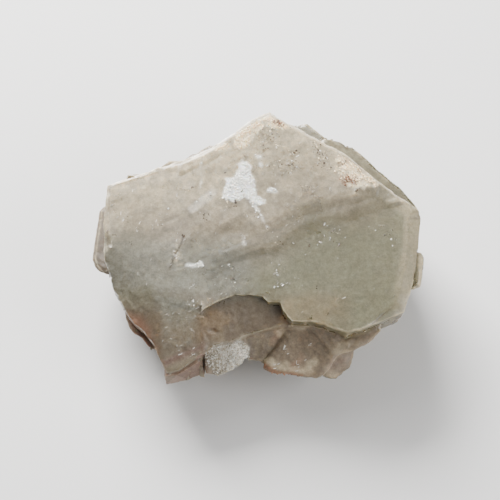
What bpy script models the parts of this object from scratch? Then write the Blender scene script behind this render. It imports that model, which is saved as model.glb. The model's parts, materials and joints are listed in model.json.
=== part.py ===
"""An apophyllite chunk: thick tabular crystals grown into one another over a blocky, broken base.

The crystals are drawn in the frame of the big face that looks up at you: X to the right, Y up the face,
Z straight out of it, in millimetres. An empty then leans that frame to the front and lifts it, so that
the chunk rests on the flats of its underside, at Z 0 of the world. The world's units are metres.
"""

import math
import random

import bmesh
import bpy
from mathutils import Euler, Matrix, Quaternion, Vector

MM = 0.001

# Driving dimensions, in millimetres and degrees
FACE_LEAN = 12.0
FACE_HEIGHT = 24.0
FACE_RIGHT = 1.7
FACE_BACK = -8.0
BODY_LEAN = 0.36
SLAB_THICKNESS = 9.3
PLATE_THICKNESS = 3.4
TERRACE_STEP = 0.35
CRACK_HEIGHT = 0.35
EDGE = 0.22
CUT_ABOVE = 6.0
GROUND_DEPTH = 30.0
GROUND_REACH = 60.0

# The big slab's outline, anticlockwise from its left shoulder: x, y and the width of the edge's bevel
LEFT_EDGE = [(-32.0, 14.2, 0.4), (-32.5, 6.0, 0.5), (-32.2, -2.0, 0.5), (-31.0, -5.2, 0.3)]
LOWER_LEFT_EDGE = [(-30.7, -7.6), (-29.4, -9.7), (-27.6, -13.0), (-25.2, -15.4), (-23.0, -18.0), (-21.7, -20.3)]
FRONT_TIP = [(-20.5, -23.3, 0.3), (-19.8, -24.6, 0.3), (-17.4, -24.1, 0.3), (-14.0, -21.7, 0.3), (-11.2, -20.0, 0.2)]
LEDGE_EDGE = [(-9.9, -19.2), (-5.0, -17.8), (0.0, -16.0), (5.4, -14.4)]
PLATE_EDGE = [(8.9, -15.1), (11.6, -15.6), (14.0, -16.6), (16.4, -17.4), (18.7, -16.8), (22.1, -15.3)]
RIGHT_EDGE = [
    (27.7, -12.8, 2.3),
    (28.8, -9.1, 2.0),
    (30.1, -4.2, 2.3),
    (30.6, -0.4, 2.3),
    (31.4, 6.9, 2.6),
    (31.0, 8.8, 1.4),
]
UPPER_RIGHT_EDGE = [(28.1, 11.0, 0.7), (22.9, 15.1, 0.8), (16.3, 21.0, 0.7), (12.2, 23.4, 0.5), (6.5, 26.8, 0.5)]
APEX = [(1.0, 30.2, 0.4), (-3.1, 28.3, 0.4)]
UPPER_LEFT_EDGE = [(-3.1, 28.3), (-9.0, 23.7), (-13.2, 21.0), (-16.7, 19.5), (-23.3, 17.1), (-32.0, 14.2)]

# Roughly the outline of the whole chunk, anticlockwise, which the small crystals underneath stand round
RIM = [(-31, 14), (-30, -4), (-25, -14), (-18, -21), (-5, -17), (7, -15), (17, -17), (26, -12), (29, -2)]
RIM += [(30, 9), (15, 21), (1, 29), (-13, 18)]

# Rows of small crystals: depth under the big face, share of the rim's size, how many, least and greatest side
DRUSE_SEED = 41
DRUSE_ROWS = [
    (8.0, 0.92, 15, 3.5, 5.5),
    (12.5, 0.87, 21, 4.0, 7.0),
    (17.5, 0.80, 18, 5.0, 8.5),
    (22.5, 0.72, 14, 6.0, 9.5),
]

# The break across the big face, from the left block to where the plate overhangs
BREAK = [
    (-13.6, -13.6),
    (-11.9, -12.2),
    (-8.9, -10.6),
    (-6.0, -9.5),
    (-3.0, -9.4),
    (-0.6, -9.8),
    (0.6, -10.9),
    (2.8, -11.0),
    (3.7, -12.9),
    (5.4, -14.9),
]


def plane_through(a, b, c):
    """The height z of the plane through three points, as a function of x and y."""
    a, b, c = Vector(a), Vector(b), Vector(c)
    across = (b - a).cross(c - a)

    def height(x, y):
        return a.z - (across.x * (x - a.x) + across.y * (y - a.y)) / across.z

    return height


def sloping(z, right=0.0, up=0.0):
    """A plane at the height z over the big face's middle, which rises by so much per millimetre to each side."""
    return lambda x, y: z + right * x + up * y


# The top of the crystal that lies right under the plate
UNDER_PLATE = plane_through((7.0, -13.8, -3.5), (23.1, -14.0, -3.9), (14.1, -20.8, -5.2))


def serrated(stretch, pitch, depth, seed):
    """A broken edge: the stretch's corners but the last, with a small step in or out about every pitch."""
    chance = random.Random(seed)
    made = []
    for (ax, ay), (bx, by) in zip(stretch, stretch[1:]):
        length = math.hypot(bx - ax, by - ay)
        count = max(1, round(length / pitch))
        made.append((ax, ay))
        for step in range(1, count):
            share = (step + chance.uniform(-0.3, 0.3)) / count
            out = chance.uniform(-depth, depth) / length
            made.append((ax + (bx - ax) * share + (by - ay) * out, ay + (by - ay) * share - (bx - ax) * out))
    return made


def inset(outline, widths):
    """Each corner of an anticlockwise outline moved inwards by its width, along the corner's bisector."""
    made = []
    for i, (x, y) in enumerate(outline):
        before = (Vector((x, y)) - Vector(outline[i - 1])).normalized()
        after = (Vector(outline[(i + 1) % len(outline)]) - Vector((x, y))).normalized()
        inward = Vector((-before.y - after.y, before.x + after.x))
        if inward.length < 0.2:
            inward = Vector((-before.y, before.x))
        inward.normalize()
        made.append((x + inward.x * widths[i], y + inward.y * widths[i]))
    return made


def solid_from_rings(name, rings):
    """A closed solid from rings of points, the first on top and the last underneath, all anticlockwise."""
    mesh = bpy.data.meshes.new(name)
    count = len(rings[0])
    points = [Vector(p) * MM for ring in rings for p in ring]
    faces = [list(range(count)), list(range((len(rings) - 1) * count, len(rings) * count))[::-1]]
    for upper in range(len(rings) - 1):
        for i in range(count):
            j = (i + 1) % count
            a, b = upper * count, (upper + 1) * count
            faces.append([a + j, a + i, b + i, b + j])
    mesh.from_pydata(points, [], faces)
    mesh.update()
    shape = bpy.data.objects.new(name, mesh)
    bpy.context.scene.collection.objects.link(shape)
    return shape


def scaled(outline, factor):
    """An outline drawn larger or smaller about its middle."""
    middle = sum((Vector(p) for p in outline), Vector((0.0, 0.0))) / len(outline)
    return [tuple(middle + (Vector(p) - middle) * factor) for p in outline]


def slab(name, outline, top, floor, bevels=EDGE, slope=0.8, taper=1.0, lean=0.0):
    """A tabular crystal between two planes: its top is bevelled, its foot is smaller and set back by the lean."""
    corners = [tuple(p[:2]) for p in outline]
    widths = [p[2] if len(p) > 2 else bevels for p in outline]
    drops = [min(w, 0.4 + 0.2 * w) * slope for w in widths]
    brim = [(x, y, top(x, y)) for x, y in inset(corners, widths)]
    girdle = [(x, y, top(x, y) - d) for (x, y), d in zip(corners, drops)]
    foot = [(x, y + lean, floor(x, y)) for x, y in scaled(corners, taper)]
    return solid_from_rings(name, [brim, girdle, foot])


def cutter(name, outline, floor):
    """What is broken away above a floor plane, within an outline."""
    top = [(x, y, max(CUT_ABOVE, floor(x, y) + 1)) for x, y in outline]
    return solid_from_rings(name, [top, [(x, y, floor(x, y)) for x, y in outline]])


def turned(x, y, z):
    """A rotation about X, then Y, then Z, in degrees."""
    return Euler([math.radians(a) for a in (x, y, z)]).to_quaternion()


def facing(direction, spin):
    """The rotation that points a crystal's long axis along a direction, spun about it in degrees."""
    return Vector(direction).to_track_quat("Z", "Y") @ Quaternion((0, 0, 1), math.radians(spin))


def blocky(name, centre, side, height, rotation, corner=0.16):
    """A blocky crystal: a square prism with its eight corners cut off by small pyramid faces."""
    shape = bmesh.new()
    bmesh.ops.create_cube(shape, size=1.0)
    bmesh.ops.scale(shape, verts=shape.verts, vec=(side, side, height))
    for sx in (-1, 1):
        for sy in (-1, 1):
            for sz in (-1, 1):
                direction = Vector((sx / side, sy / side, sz / height))
                tip = Vector((sx * side, sy * side, sz * height)) / 2
                cut = bmesh.ops.bisect_plane(
                    shape,
                    geom=shape.verts[:] + shape.edges[:] + shape.faces[:],
                    plane_co=tip * (1 - corner),
                    plane_no=direction,
                    clear_outer=True,
                )
                edges = [e for e in cut["geom_cut"] if isinstance(e, bmesh.types.BMEdge)]
                bmesh.ops.contextual_create(shape, geom=edges)
    bmesh.ops.recalc_face_normals(shape, faces=shape.faces)
    place = Matrix.Translation(Vector(centre)) @ rotation.to_matrix().to_4x4()
    bmesh.ops.transform(shape, matrix=Matrix.Scale(MM, 4) @ place, verts=shape.verts)
    mesh = bpy.data.meshes.new(name)
    shape.to_mesh(mesh)
    shape.free()
    made = bpy.data.objects.new(name, mesh)
    bpy.context.scene.collection.objects.link(made)
    return made


def big_slab():
    """The big slab that carries the big face, the left block and the ledge, before anything broke off it."""
    outline = (
        LEFT_EDGE
        + serrated(LOWER_LEFT_EDGE, 1.5, 0.25, seed=4)
        + LOWER_LEFT_EDGE[-1:]
        + FRONT_TIP
        + serrated(LEDGE_EDGE, 2.4, 0.2, seed=2)
        + serrated(PLATE_EDGE, 1.3, 0.2, seed=9)
        + RIGHT_EDGE
        + UPPER_RIGHT_EDGE
        + APEX[:1]
        + serrated(UPPER_LEFT_EDGE, 1.8, 0.22, seed=7)
    )
    return slab("big_slab", outline, sloping(0.0), sloping(-SLAB_THICKNESS, 0.004, -0.006), taper=0.965)


def broken_away():
    """Pieces missing from the big slab: its front-left slope, its left bevel, the ledge and the overhang."""
    fold = [(-22.4, -8.5, 0.0), (-12.5, -10.9, 0.0)]
    front_slope = plane_through(*fold, (-19.2, -24.2, -4.8))
    left_bevel = plane_through((-32.2, 0.3, 0.0), fold[0], (-20.2, -24.0, -4.8))
    ledge = plane_through((-12.5, -12.5, -0.7), (-12.5, -20.0, -3.1), (5.4, -13.9, -3.3))
    step = [(8.0, -15.0), (8.0, -30.0), (-12.6, -30.0)]
    yield cutter("front_slope", [(-36.0, -1.0), (-36.0, -30.0), (-12.6, -30.0), (-12.6, -1.0)], front_slope)
    yield cutter("left_bevel", [(-36.0, 3.5), (-36.0, -30.0), (-12.6, -30.0), (-12.6, 3.5)], left_bevel)
    break_line = serrated(BREAK, 1.4, 0.14, seed=12) + BREAK[-1:]
    yield cutter("ledge", (break_line + step + [(-12.6, -14.6)])[::-1], ledge)


def terraces():
    """Growth layers on the big face: two low steps that run across it from lower left to upper right."""
    lower = [(-31.2, 0.6), (-24.0, -3.6), (-18.9, -3.9), (-15.0, -2.5), (-12.0, -3.7), (-6.0, -1.3), (-1.0, 0.0)]
    lower += [(2.6, 0.4), (8.0, 4.2), (14.0, 6.4), (19.5, 8.0), (24.6, 10.4), (27.0, 11.1), (16.0, 20.4)]
    lower += [(6.2, 26.2), (1.0, 29.4), (-8.8, 22.9), (-16.4, 18.8), (-31.4, 13.7)]
    upper = [(-16.0, 1.4), (-12.0, 2.9), (-7.0, 4.6), (-5.0, 5.7), (-1.6, 3.4), (-0.4, 4.4), (1.0, 4.9), (7.1, 8.2)]
    upper += [(11.1, 9.5), (16.1, 10.5), (21.6, 12.3), (22.4, 14.4), (15.6, 20.2), (6.0, 25.6), (1.0, 28.7)]
    upper += [(-8.5, 22.2), (-16.0, 18.0), (-17.4, 10.0)]
    yield slab("lower_terrace", lower, sloping(TERRACE_STEP), sloping(-1.0), bevels=0.1, slope=1.0)
    yield slab("upper_terrace", upper, sloping(2 * TERRACE_STEP), sloping(-1.3), bevels=0.1, slope=1.0)


def front_crystals():
    """The lower crystals that come out from under the plate at the front."""
    yield slab(
        "under_plate",
        [(7.0, -10.0), (7.0, -13.8), (11.0, -17.3), (13.4, -20.9), (14.2, -20.7)]
        + serrated([(15.4, -20.3), (18.3, -19.5), (21.2, -18.0), (23.2, -15.6)], 1.2, 0.15, seed=3)
        + [(23.2, -15.6), (23.3, -13.6), (22.0, -9.0)],
        UNDER_PLATE,
        sloping(-9.2, 0.01, 0.02),
        lean=2.4,
    )
    yield slab(
        "front_middle",
        [(6.0, -12.0), (4.9, -14.2), (3.0, -17.0), (-0.3, -20.8)]
        + serrated([(-0.4, -22.4), (2.2, -23.6), (6.0, -23.9), (9.6, -24.5), (12.4, -24.5)], 1.1, 0.2, seed=8)
        + [(12.9, -22.8), (14.4, -20.2), (12.2, -14.0)],
        plane_through((7.0, -13.8, -4.1), (13.3, -20.6, -5.9), (0.0, -22.4, -8.0)),
        sloping(-12.2, 0.012, -0.01),
        bevels=0.4,
        slope=1.3,
        taper=0.82,
        lean=2.2,
    )
    yield slab(
        "front_shaded",
        [(6.5, -9.5), (-6.2, -12.0), (-5.2, -18.6), (-3.2, -20.8), (-0.4, -21.0), (3.4, -18.0)],
        plane_through((5.0, -14.2, -5.0), (-4.5, -17.4, -5.6), (-1.2, -21.0, -8.6)),
        sloping(-11.4, -0.02, 0.015),
        taper=0.8,
        lean=2.0,
    )
    yield slab(
        "front_corner",
        [(11.0, -17.0), (11.4, -24.0, 0.6), (13.5, -24.2, 1.3), (15.1, -23.6, 1.4), (17.0, -21.8, 1.2), (18.2, -18.6)],
        plane_through((13.6, -20.1, -7.4), (18.2, -18.9, -7.7), (12.4, -23.0, -8.3)),
        sloping(-12.4, 0.02, 0.02),
        slope=1.4,
        taper=0.86,
        lean=1.9,
    )
    yield slab(
        "sugary_lobe",
        [(-11.6, -16.5), (-12.1, -20.8), (-11.9, -23.2), (-9.6, -23.7), (-7.4, -22.9), (-5.6, -21.9)]
        + [(-3.8, -20.4), (-3.2, -19.2), (-4.6, -16.0)],
        plane_through((-10.5, -19.2, -4.8), (-4.5, -18.3, -5.2), (-7.4, -23.0, -9.3)),
        sloping(-12.9, 0.015, 0.02),
        taper=0.84,
        lean=1.9,
    )
    foot_top = [(-20.2, -20.0), (-20.0, -24.7), (-17.4, -24.3), (-14.6, -22.6), (-12.6, -21.3), (-12.4, -18.0)]
    foot_base = [(-20.0, -19.0), (-19.8, -24.4), (-15.5, -23.4), (-13.3, -22.6), (-12.2, -22.9), (-11.6, -17.5)]
    yield solid_from_rings(
        "front_foot",
        [[(x, y, -5.7) for x, y in foot_top], [(x, y, -12.3) for x, y in foot_base]],
    )
    yield slab(
        "lower_left_layer",
        [(-28.6, -8.0), (-28.0, -12.0)]
        + serrated([(-27.4, -13.6), (-26.2, -15.2), (-24.6, -16.2), (-23.5, -17.8), (-21.8, -18.9)], 1.0, 0.18, seed=6)
        + [(-15.0, -18.0), (-15.0, -8.0)],
        sloping(-6.6, 0.02, 0.01),
        sloping(-12.6, 0.01, -0.015),
        taper=0.97,
        lean=2.3,
    )


def side_crystals():
    """The slab under the plate and the small crystals that show past the big face's edges."""
    yield slab(
        "second_slab",
        [(10.0, -9.0), (22.0, -9.6), (27.2, -5.0), (29.2, -0.6, 0.4), (30.6, 4.4, 0.5), (31.6, 9.9, 0.8)]
        + [(27.7, 14.8, 0.6), (23.3, 18.8, 0.5), (18.1, 23.8), (17.0, 23.8), (15.5, 25.1), (12.4, 25.6), (2.0, 22.0)],
        sloping(-PLATE_THICKNESS, -0.004, 0.006),
        sloping(-11.1, -0.01, 0.008),
        taper=0.97,
        lean=2.4,
    )
    yield slab(
        "behind_apex",
        [(2.0, 22.0), (13.8, 22.6), (12.9, 26.3), (9.0, 30.3, 0.4), (8.2, 30.4), (4.8, 28.9)],
        plane_through((4.0, 29.0, -6.4), (12.4, 26.5, -5.4), (8.0, 20.0, -5.4)),
        sloping(-13.6, 0.02, -0.01),
        taper=0.9,
        lean=2.0,
    )
    yield slab(
        "behind_left",
        [(-22.0, 8.0), (-12.0, 10.0), (-15.6, 20.2), (-17.2, 21.3), (-19.6, 21.4), (-23.4, 18.6)],
        plane_through((-23.6, 18.6, -5.2), (-17.0, 21.3, -4.8), (-18.0, 12.0, -4.4)),
        sloping(-12.2, -0.012, 0.01),
        taper=0.95,
        lean=1.5,
    )
    yield slab(
        "far_left",
        [(-24.0, 12.8), (-33.0, 13.2), (-34.2, 12.0), (-34.4, 9.4), (-35.0, 4.4), (-35.3, 1.4), (-34.7, -0.4)]
        + [(-33.6, -1.6), (-31.0, -2.2), (-24.0, -2.0)],
        plane_through((-33.0, 12.0, -8.6), (-34.0, -1.5, -9.2), (-28.0, 4.0, -7.8)),
        sloping(-15.5, 0.02, 0.015),
        bevels=0.6,
        taper=0.8,
        lean=2.4,
    )
    yield slab(
        "right_tab",
        [(26.0, 0.2), (26.4, -7.4), (29.6, -7.6, 0.3), (31.0, -7.0, 0.5), (31.8, -3.2, 0.6), (32.0, -0.4, 0.5)]
        + [(31.4, 0.2)],
        sloping(-1.9, 0.002, 0.004),
        sloping(-7.3, -0.02, 0.015),
        taper=0.95,
        lean=2.2,
    )


def base_crystals():
    """The blocky crystals under the slabs, which carry the chunk and show from its sides and back."""
    rim = [Vector(p) for p in RIM]
    rings = []
    for depth, reach in ((6.0, 0.80), (14.0, 0.78), (32.0, 0.60)):
        rings.append([(p.x * reach, p.y * reach + BODY_LEAN * depth, -depth) for p in rim])
    yield solid_from_rings("core", rings)
    blocks = [
        ((-13.0, 0.5, -17.0), 26.0, 21.0, (6, -5, 24)),
        ((9.0, 5.5, -16.0), 29.0, 22.0, (-5, 6, 52)),
        ((-1.0, 13.5, -20.0), 27.0, 22.0, (9, 4, 8)),
        ((16.0, 11.0, -15.5), 20.0, 18.0, (-8, -9, 33)),
        ((-19.0, 9.0, -15.0), 19.0, 17.0, (10, 12, 60)),
        ((5.0, -5.5, -16.0), 19.0, 15.0, (4, 3, 70)),
        ((11.0, 22.0, -17.5), 13.0, 14.0, (14, -10, 20)),
        ((-13.0, 17.5, -18.0), 13.0, 15.0, (-16, 8, 40)),
        ((21.5, 2.5, -15.5), 11.0, 13.0, (8, 18, 12)),
        ((-24.0, 1.0, -15.0), 10.0, 11.0, (-12, -14, 30)),
        ((0.0, 28.0, -18.0), 9.0, 12.0, (20, 12, 30)),
    ]
    for i, (centre, side, height, turn) in enumerate(blocks):
        yield blocky(f"base_block_{i}", centre, side, height, turned(*turn))


def along(rim, share):
    """The point at a share of the way round a closed outline, and the outward direction there."""
    sides = [(Vector(a), Vector(b)) for a, b in zip(rim, rim[1:] + rim[:1])]
    left = share * sum((b - a).length for a, b in sides)
    for a, b in sides:
        if left <= (b - a).length:
            break
        left -= (b - a).length
    step = (b - a).normalized()
    return a + step * left, Vector((step.y, -step.x))


def druse():
    """Small crystals in rows round the sides and back, each pointing outwards and turned a little differently."""
    chance = random.Random(DRUSE_SEED)
    for row, (depth, reach, count, smallest, largest) in enumerate(DRUSE_ROWS):
        for i in range(count):
            point, outward = along(RIM, (i + chance.uniform(0.15, 0.85)) / count)
            side = chance.uniform(smallest, largest)
            deeper = depth + chance.uniform(-1.5, 1.5)
            centre = (point.x * reach, point.y * reach + BODY_LEAN * deeper, -deeper)
            tilt = [chance.uniform(-0.35, 0.35) for _ in range(2)]
            direction = (outward.x + tilt[0], outward.y + tilt[1], chance.uniform(-0.75, 0.35))
            rotation = facing(direction, chance.uniform(0.0, 90.0))
            yield blocky(f"druse_{row}_{i}", centre, side, side * chance.uniform(0.9, 1.5), rotation, corner=0.2)


def gathered(name, shapes, frame):
    """A collection of helper solids in the big face's frame, for one Boolean to read."""
    group = bpy.data.collections.new(name)
    bpy.context.scene.collection.children.link(group)
    for shape in shapes:
        shape.parent = frame
        shape.hide_render = True
        shape.display_type = "WIRE"
        bpy.context.scene.collection.objects.unlink(shape)
        group.objects.link(shape)
    return group


def combine(target, group, operation):
    """One exact Boolean between the target and all the solids of a collection."""
    modifier = target.modifiers.new(group.name, "BOOLEAN")
    modifier.operation = operation
    modifier.operand_type = "COLLECTION"
    modifier.collection = group
    modifier.solver = "EXACT"
    modifier.use_self = operation == "UNION"


def crack():
    """The thin gap between the plate's lower edge and the crystal under it, in the big face's frame."""
    outline = [(14.2, -17.6), (22.4, -15.9), (21.5, -13.6), (15.0, -14.6)]
    rings = [[(x, y, UNDER_PLATE(x, y) + rise) for x, y in outline] for rise in (CRACK_HEIGHT, -0.1)]
    yield solid_from_rings("crack", rings)


def ground_cuts():
    """What lies below the surface that the chunk rests on, and the pits where crystals broke out of its underside."""
    reach = GROUND_REACH
    square = [(-reach, -reach), (reach, -reach), (reach, reach), (-reach, reach)]
    yield solid_from_rings("ground", [[(x, y, z) for x, y in square] for z in (0.0, -GROUND_DEPTH)])
    pits = [
        ((-23.0, 3.0, -1.0), 15.0, 9.0, (8, 24, 20)),
        ((-14.5, -17.5, -1.0), 18.0, 10.0, (-24, 12, 40)),
        ((11.5, -18.5, -0.5), 18.0, 11.0, (-20, -14, 10)),
        ((24.0, 3.0, -1.5), 14.0, 10.0, (10, -26, 55)),
        ((14.0, 21.0, -1.0), 13.0, 9.0, (22, -12, 30)),
        ((-12.0, 21.0, -1.5), 12.0, 10.0, (26, 14, 65)),
        ((2.0, 3.0, -2.8), 12.0, 8.0, (7, -5, 25)),
    ]
    for i, (centre, side, height, turn) in enumerate(pits):
        yield blocky(f"pit_{i}", centre, side, height, turned(*turn))


def crystal_material():
    """Milky, faintly green apophyllite."""
    material = bpy.data.materials.new("milky_apophyllite")
    material.use_nodes = True
    shader = material.node_tree.nodes["Principled BSDF"]
    shader.inputs["Base Color"].default_value = (0.46, 0.45, 0.38, 1.0)
    shader.inputs["Roughness"].default_value = 0.3
    shader.inputs["Metallic"].default_value = 0.0
    shader.inputs["IOR"].default_value = 1.535
    return material


def main():
    for old in list(bpy.data.objects):
        bpy.data.objects.remove(old)
    big_face = bpy.data.objects.new("big_face_frame", None)
    bpy.context.scene.collection.objects.link(big_face)
    big_face.location = (FACE_RIGHT * MM, FACE_BACK * MM, FACE_HEIGHT * MM)
    big_face.rotation_euler = (math.radians(FACE_LEAN), 0.0, 0.0)

    chunk = big_slab()
    chunk.name = "apophyllite_chunk"
    chunk.parent = big_face
    chunk.data.materials.append(crystal_material())
    combine(chunk, gathered("broken_away", broken_away(), big_face), "DIFFERENCE")
    grown = [*terraces(), *front_crystals(), *side_crystals(), *base_crystals(), *druse()]
    combine(chunk, gathered("grown_together", grown, big_face), "UNION")
    combine(chunk, gathered("under_the_plate", crack(), big_face), "DIFFERENCE")
    combine(chunk, gathered("under_the_chunk", ground_cuts(), None), "DIFFERENCE")


main()
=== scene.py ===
# %% [markdown]
# # A chunk of apophyllite
#
# The object is a hand-sized chunk of apophyllite, a soft, milky crystal that grows in thick plates and
# blocks. One big plate looks up at the viewer. Its front is broken away in ledges, small blocky crystals
# stand under it, and white crust, rusty specks and fine cracks lie on it. Everything is one piece of
# mineral, so the lesson is about surfaces: how flat crystal faces, broken faces and sugary crust differ,
# and how light goes into them.

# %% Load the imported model
import bpy
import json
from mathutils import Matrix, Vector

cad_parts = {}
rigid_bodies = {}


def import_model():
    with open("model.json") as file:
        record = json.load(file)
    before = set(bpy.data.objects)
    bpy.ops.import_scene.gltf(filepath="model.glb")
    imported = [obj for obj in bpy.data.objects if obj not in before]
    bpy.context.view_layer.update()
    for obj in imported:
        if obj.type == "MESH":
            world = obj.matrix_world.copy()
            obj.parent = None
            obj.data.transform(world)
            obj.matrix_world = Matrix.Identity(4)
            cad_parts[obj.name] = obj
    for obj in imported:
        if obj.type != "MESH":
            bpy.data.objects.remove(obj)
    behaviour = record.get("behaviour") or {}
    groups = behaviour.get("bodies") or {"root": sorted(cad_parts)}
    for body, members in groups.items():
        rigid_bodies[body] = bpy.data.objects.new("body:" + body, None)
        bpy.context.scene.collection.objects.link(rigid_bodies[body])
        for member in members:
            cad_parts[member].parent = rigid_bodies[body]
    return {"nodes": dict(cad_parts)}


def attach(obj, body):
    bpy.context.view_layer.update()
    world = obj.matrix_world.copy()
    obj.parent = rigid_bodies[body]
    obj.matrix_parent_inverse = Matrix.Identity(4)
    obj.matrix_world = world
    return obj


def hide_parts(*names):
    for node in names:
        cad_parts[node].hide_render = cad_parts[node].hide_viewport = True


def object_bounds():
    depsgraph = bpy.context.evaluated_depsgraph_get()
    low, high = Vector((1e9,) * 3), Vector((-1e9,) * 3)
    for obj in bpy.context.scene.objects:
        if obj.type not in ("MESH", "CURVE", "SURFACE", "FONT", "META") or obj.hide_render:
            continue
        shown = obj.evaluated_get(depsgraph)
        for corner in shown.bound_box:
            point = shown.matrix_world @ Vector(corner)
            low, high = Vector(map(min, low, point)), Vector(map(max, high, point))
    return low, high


for leftover in list(bpy.data.objects):
    bpy.data.objects.remove(leftover)

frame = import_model()
cad_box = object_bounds()

import json
import math

import bmesh
import numpy as np
from mathutils import Vector
from mathutils.geometry import delaunay_2d_cdt
from mathutils.kdtree import KDTree

MM = 0.001
chunk_node = frame["nodes"]["apophyllite_chunk"]
print("nodes:", sorted(frame["nodes"]))
print("box in mm:", np.round(np.array(cad_box, dtype=float) / MM, 1).tolist())

# %% [markdown]
# ## The frame of the big face
#
# The plate leans a little to the front, so its face isn't level. It is easier to say where a crack or a
# patch of crust is in the face's own coordinates: X to the right, Y up the face and Z out of it, in
# millimetres. Two functions turn points between that frame and the world.

# %% To the big face and back
FACE_MIDDLE = np.array([1.7, -8.0, 24.0])
FACE_LEAN = math.radians(12.0)
FACE_AXES = np.array(
    [
        [1.0, 0.0, 0.0],
        [0.0, math.cos(FACE_LEAN), math.sin(FACE_LEAN)],
        [0.0, -math.sin(FACE_LEAN), math.cos(FACE_LEAN)],
    ]
)


def to_face(world_mm):
    """Points in the face's frame: their distance from the face's middle, measured along each of its axes."""
    return (world_mm - FACE_MIDDLE) @ FACE_AXES.T


def to_world(face_mm):
    """Points back in the world: the face's middle plus so much along each of its axes."""
    return face_mm @ FACE_AXES + FACE_MIDDLE


print("face's middle there and back:", to_face(to_world(np.zeros(3))))

# %% [markdown]
# ## Noise worked out as whole arrays
#
# Nothing on a natural crystal repeats, so every surface below is bent, pitted or coloured by noise. Blender
# has noise textures, but here the same fields shape the mesh, place the grains and colour the skin, so they
# are worked out with numpy for all points at once.

# %% Smooth noise, layered noise and cells


def smooth(low, high, value):
    """0 below low and 1 above high, with a soft S between them: 3t squared less 2t cubed."""
    t = np.clip((value - low) / (high - low), 0.0, 1.0)
    return t * t * (3.0 - 2.0 * t)


def lattice(cell, seed):
    """A number from 0 to 1 for each whole cell: its indices times big odd numbers, mixed by shifts."""
    x, y, z = (cell[..., i].astype(np.int64).astype(np.uint32) for i in range(3))
    mixed = x * np.uint32(0x8DA6B343) ^ y * np.uint32(0xD8163841) ^ z * np.uint32(0xCB1AB31F)
    mixed = mixed ^ np.uint32((seed * 0x9E3779B1) & 0xFFFFFFFF)
    mixed = (mixed ^ (mixed >> np.uint32(13))) * np.uint32(0x85EBCA6B)
    mixed = (mixed ^ (mixed >> np.uint32(15))) * np.uint32(0xC2B2AE35)
    return ((mixed ^ (mixed >> np.uint32(16))) & np.uint32(0xFFFFFF)) / float(0xFFFFFF)


def noise(points, size, seed):
    """Noise from -1 to 1: the values at a cell's eight corners, blended by the point's place in the cell."""
    scaled = points / size
    corner = np.floor(scaled)
    place = scaled - corner
    place = place * place * (3.0 - 2.0 * place)
    total = np.zeros(len(points))
    for dx in (0, 1):
        for dy in (0, 1):
            for dz in (0, 1):
                weight = np.prod(np.where([dx, dy, dz], place, 1.0 - place), axis=1)
                total += weight * lattice(corner + [dx, dy, dz], seed)
    return 2.0 * total - 1.0


def layered(points, size, seed, layers=4, gain=0.5):
    """Noise on noise, about -1 to 1: each layer is half as large and gain times as strong as the last."""
    total, strength, whole = np.zeros(len(points)), 1.0, 0.0
    for layer in range(layers):
        total += strength * noise(points, size / 2**layer, seed + 17 * layer)
        whole += strength
        strength *= gain
    return total / whole


def cells(points, size, seed):
    """The nearest of many random centres, one to a cell: its distance, its number and the offset from it."""
    scaled = points / size
    home = np.floor(scaled)
    first = np.full(len(points), np.inf)
    number = np.zeros(len(points))
    offset = np.zeros_like(points)
    for step in np.ndindex(3, 3, 3):
        cell = home + np.array(step) - 1.0
        centre = cell + np.stack([lattice(cell, seed + k) for k in (1, 2, 3)], axis=1)
        away = scaled - centre
        distance = np.linalg.norm(away, axis=1)
        closer = distance < first
        number = np.where(closer, lattice(cell, seed + 4), number)
        offset = np.where(closer[:, None], away, offset)
        first = np.where(closer, distance, first)
    return first * size, number, offset * size


def rubble(points, size, seed, steep=0.7):
    """Sugary relief, about -1 to 1 times size: every cell is a small flat facet, tilted its own way."""
    _, number, offset = cells(points, size, seed)
    turn = 2.0 * math.pi * number
    tilt = steep * (0.4 + 0.6 * np.mod(number * 7.31, 1.0))
    slope = tilt * (np.cos(turn) * offset[:, 0] + np.sin(turn) * offset[:, 1])
    return slope + 0.35 * size * (np.mod(number * 13.7, 1.0) - 0.5)


def inside(points, outline):
    """How deep points lie in a closed outline, in X and Y: positive inside it, and less than 0 outside."""
    ring = np.array(outline, dtype=float)
    after = np.roll(ring, -1, axis=0)
    nearest = np.full(len(points), 1e9)
    odd = np.zeros(len(points), dtype=bool)
    for (ax, ay), (bx, by) in zip(ring, after):
        side = np.array([bx - ax, by - ay])
        from_a = points[:, :2] - [ax, ay]
        share = np.clip(from_a @ side / (side @ side), 0.0, 1.0)
        nearest = np.minimum(nearest, np.linalg.norm(from_a - share[:, None] * side, axis=1))
        between = (ay > points[:, 1]) != (by > points[:, 1])
        crossing = (bx - ax) * (points[:, 1] - ay) / (by - ay if by != ay else 1e-12) + ax
        odd ^= between & (points[:, 0] < crossing)
    return np.where(odd, nearest, -nearest)


def beside(points, path):
    """How far points lie from an open path, in X and Y."""
    nearest = np.full(len(points), 1e9)
    for a, b in zip(np.array(path[:-1], dtype=float), np.array(path[1:], dtype=float)):
        from_a = points[:, :2] - a
        share = np.clip(from_a @ (b - a) / ((b - a) @ (b - a)), 0.0, 1.0)
        nearest = np.minimum(nearest, np.linalg.norm(from_a - share[:, None] * (b - a), axis=1))
    return nearest


trial = np.random.default_rng(1).uniform(-20, 20, (2000, 3))
print("layered noise spans", np.round([layered(trial, 3.0, 5).min(), layered(trial, 3.0, 5).max()], 2))

# %% [markdown]
# ## The crystal faces, refilled with fine triangles
#
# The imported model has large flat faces, which can't carry a crack or a grain. A subdivision surface would
# round its corners, and voxel remeshing would nibble them. So each flat face is read from a copy of the
# node, its edges are divided evenly, its inside is filled with a honeycomb of points, and a Delaunay
# triangulation joins them. Neighbouring faces share the points on their common edge, so the skin stays
# closed and its edges stay sharp.

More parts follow.
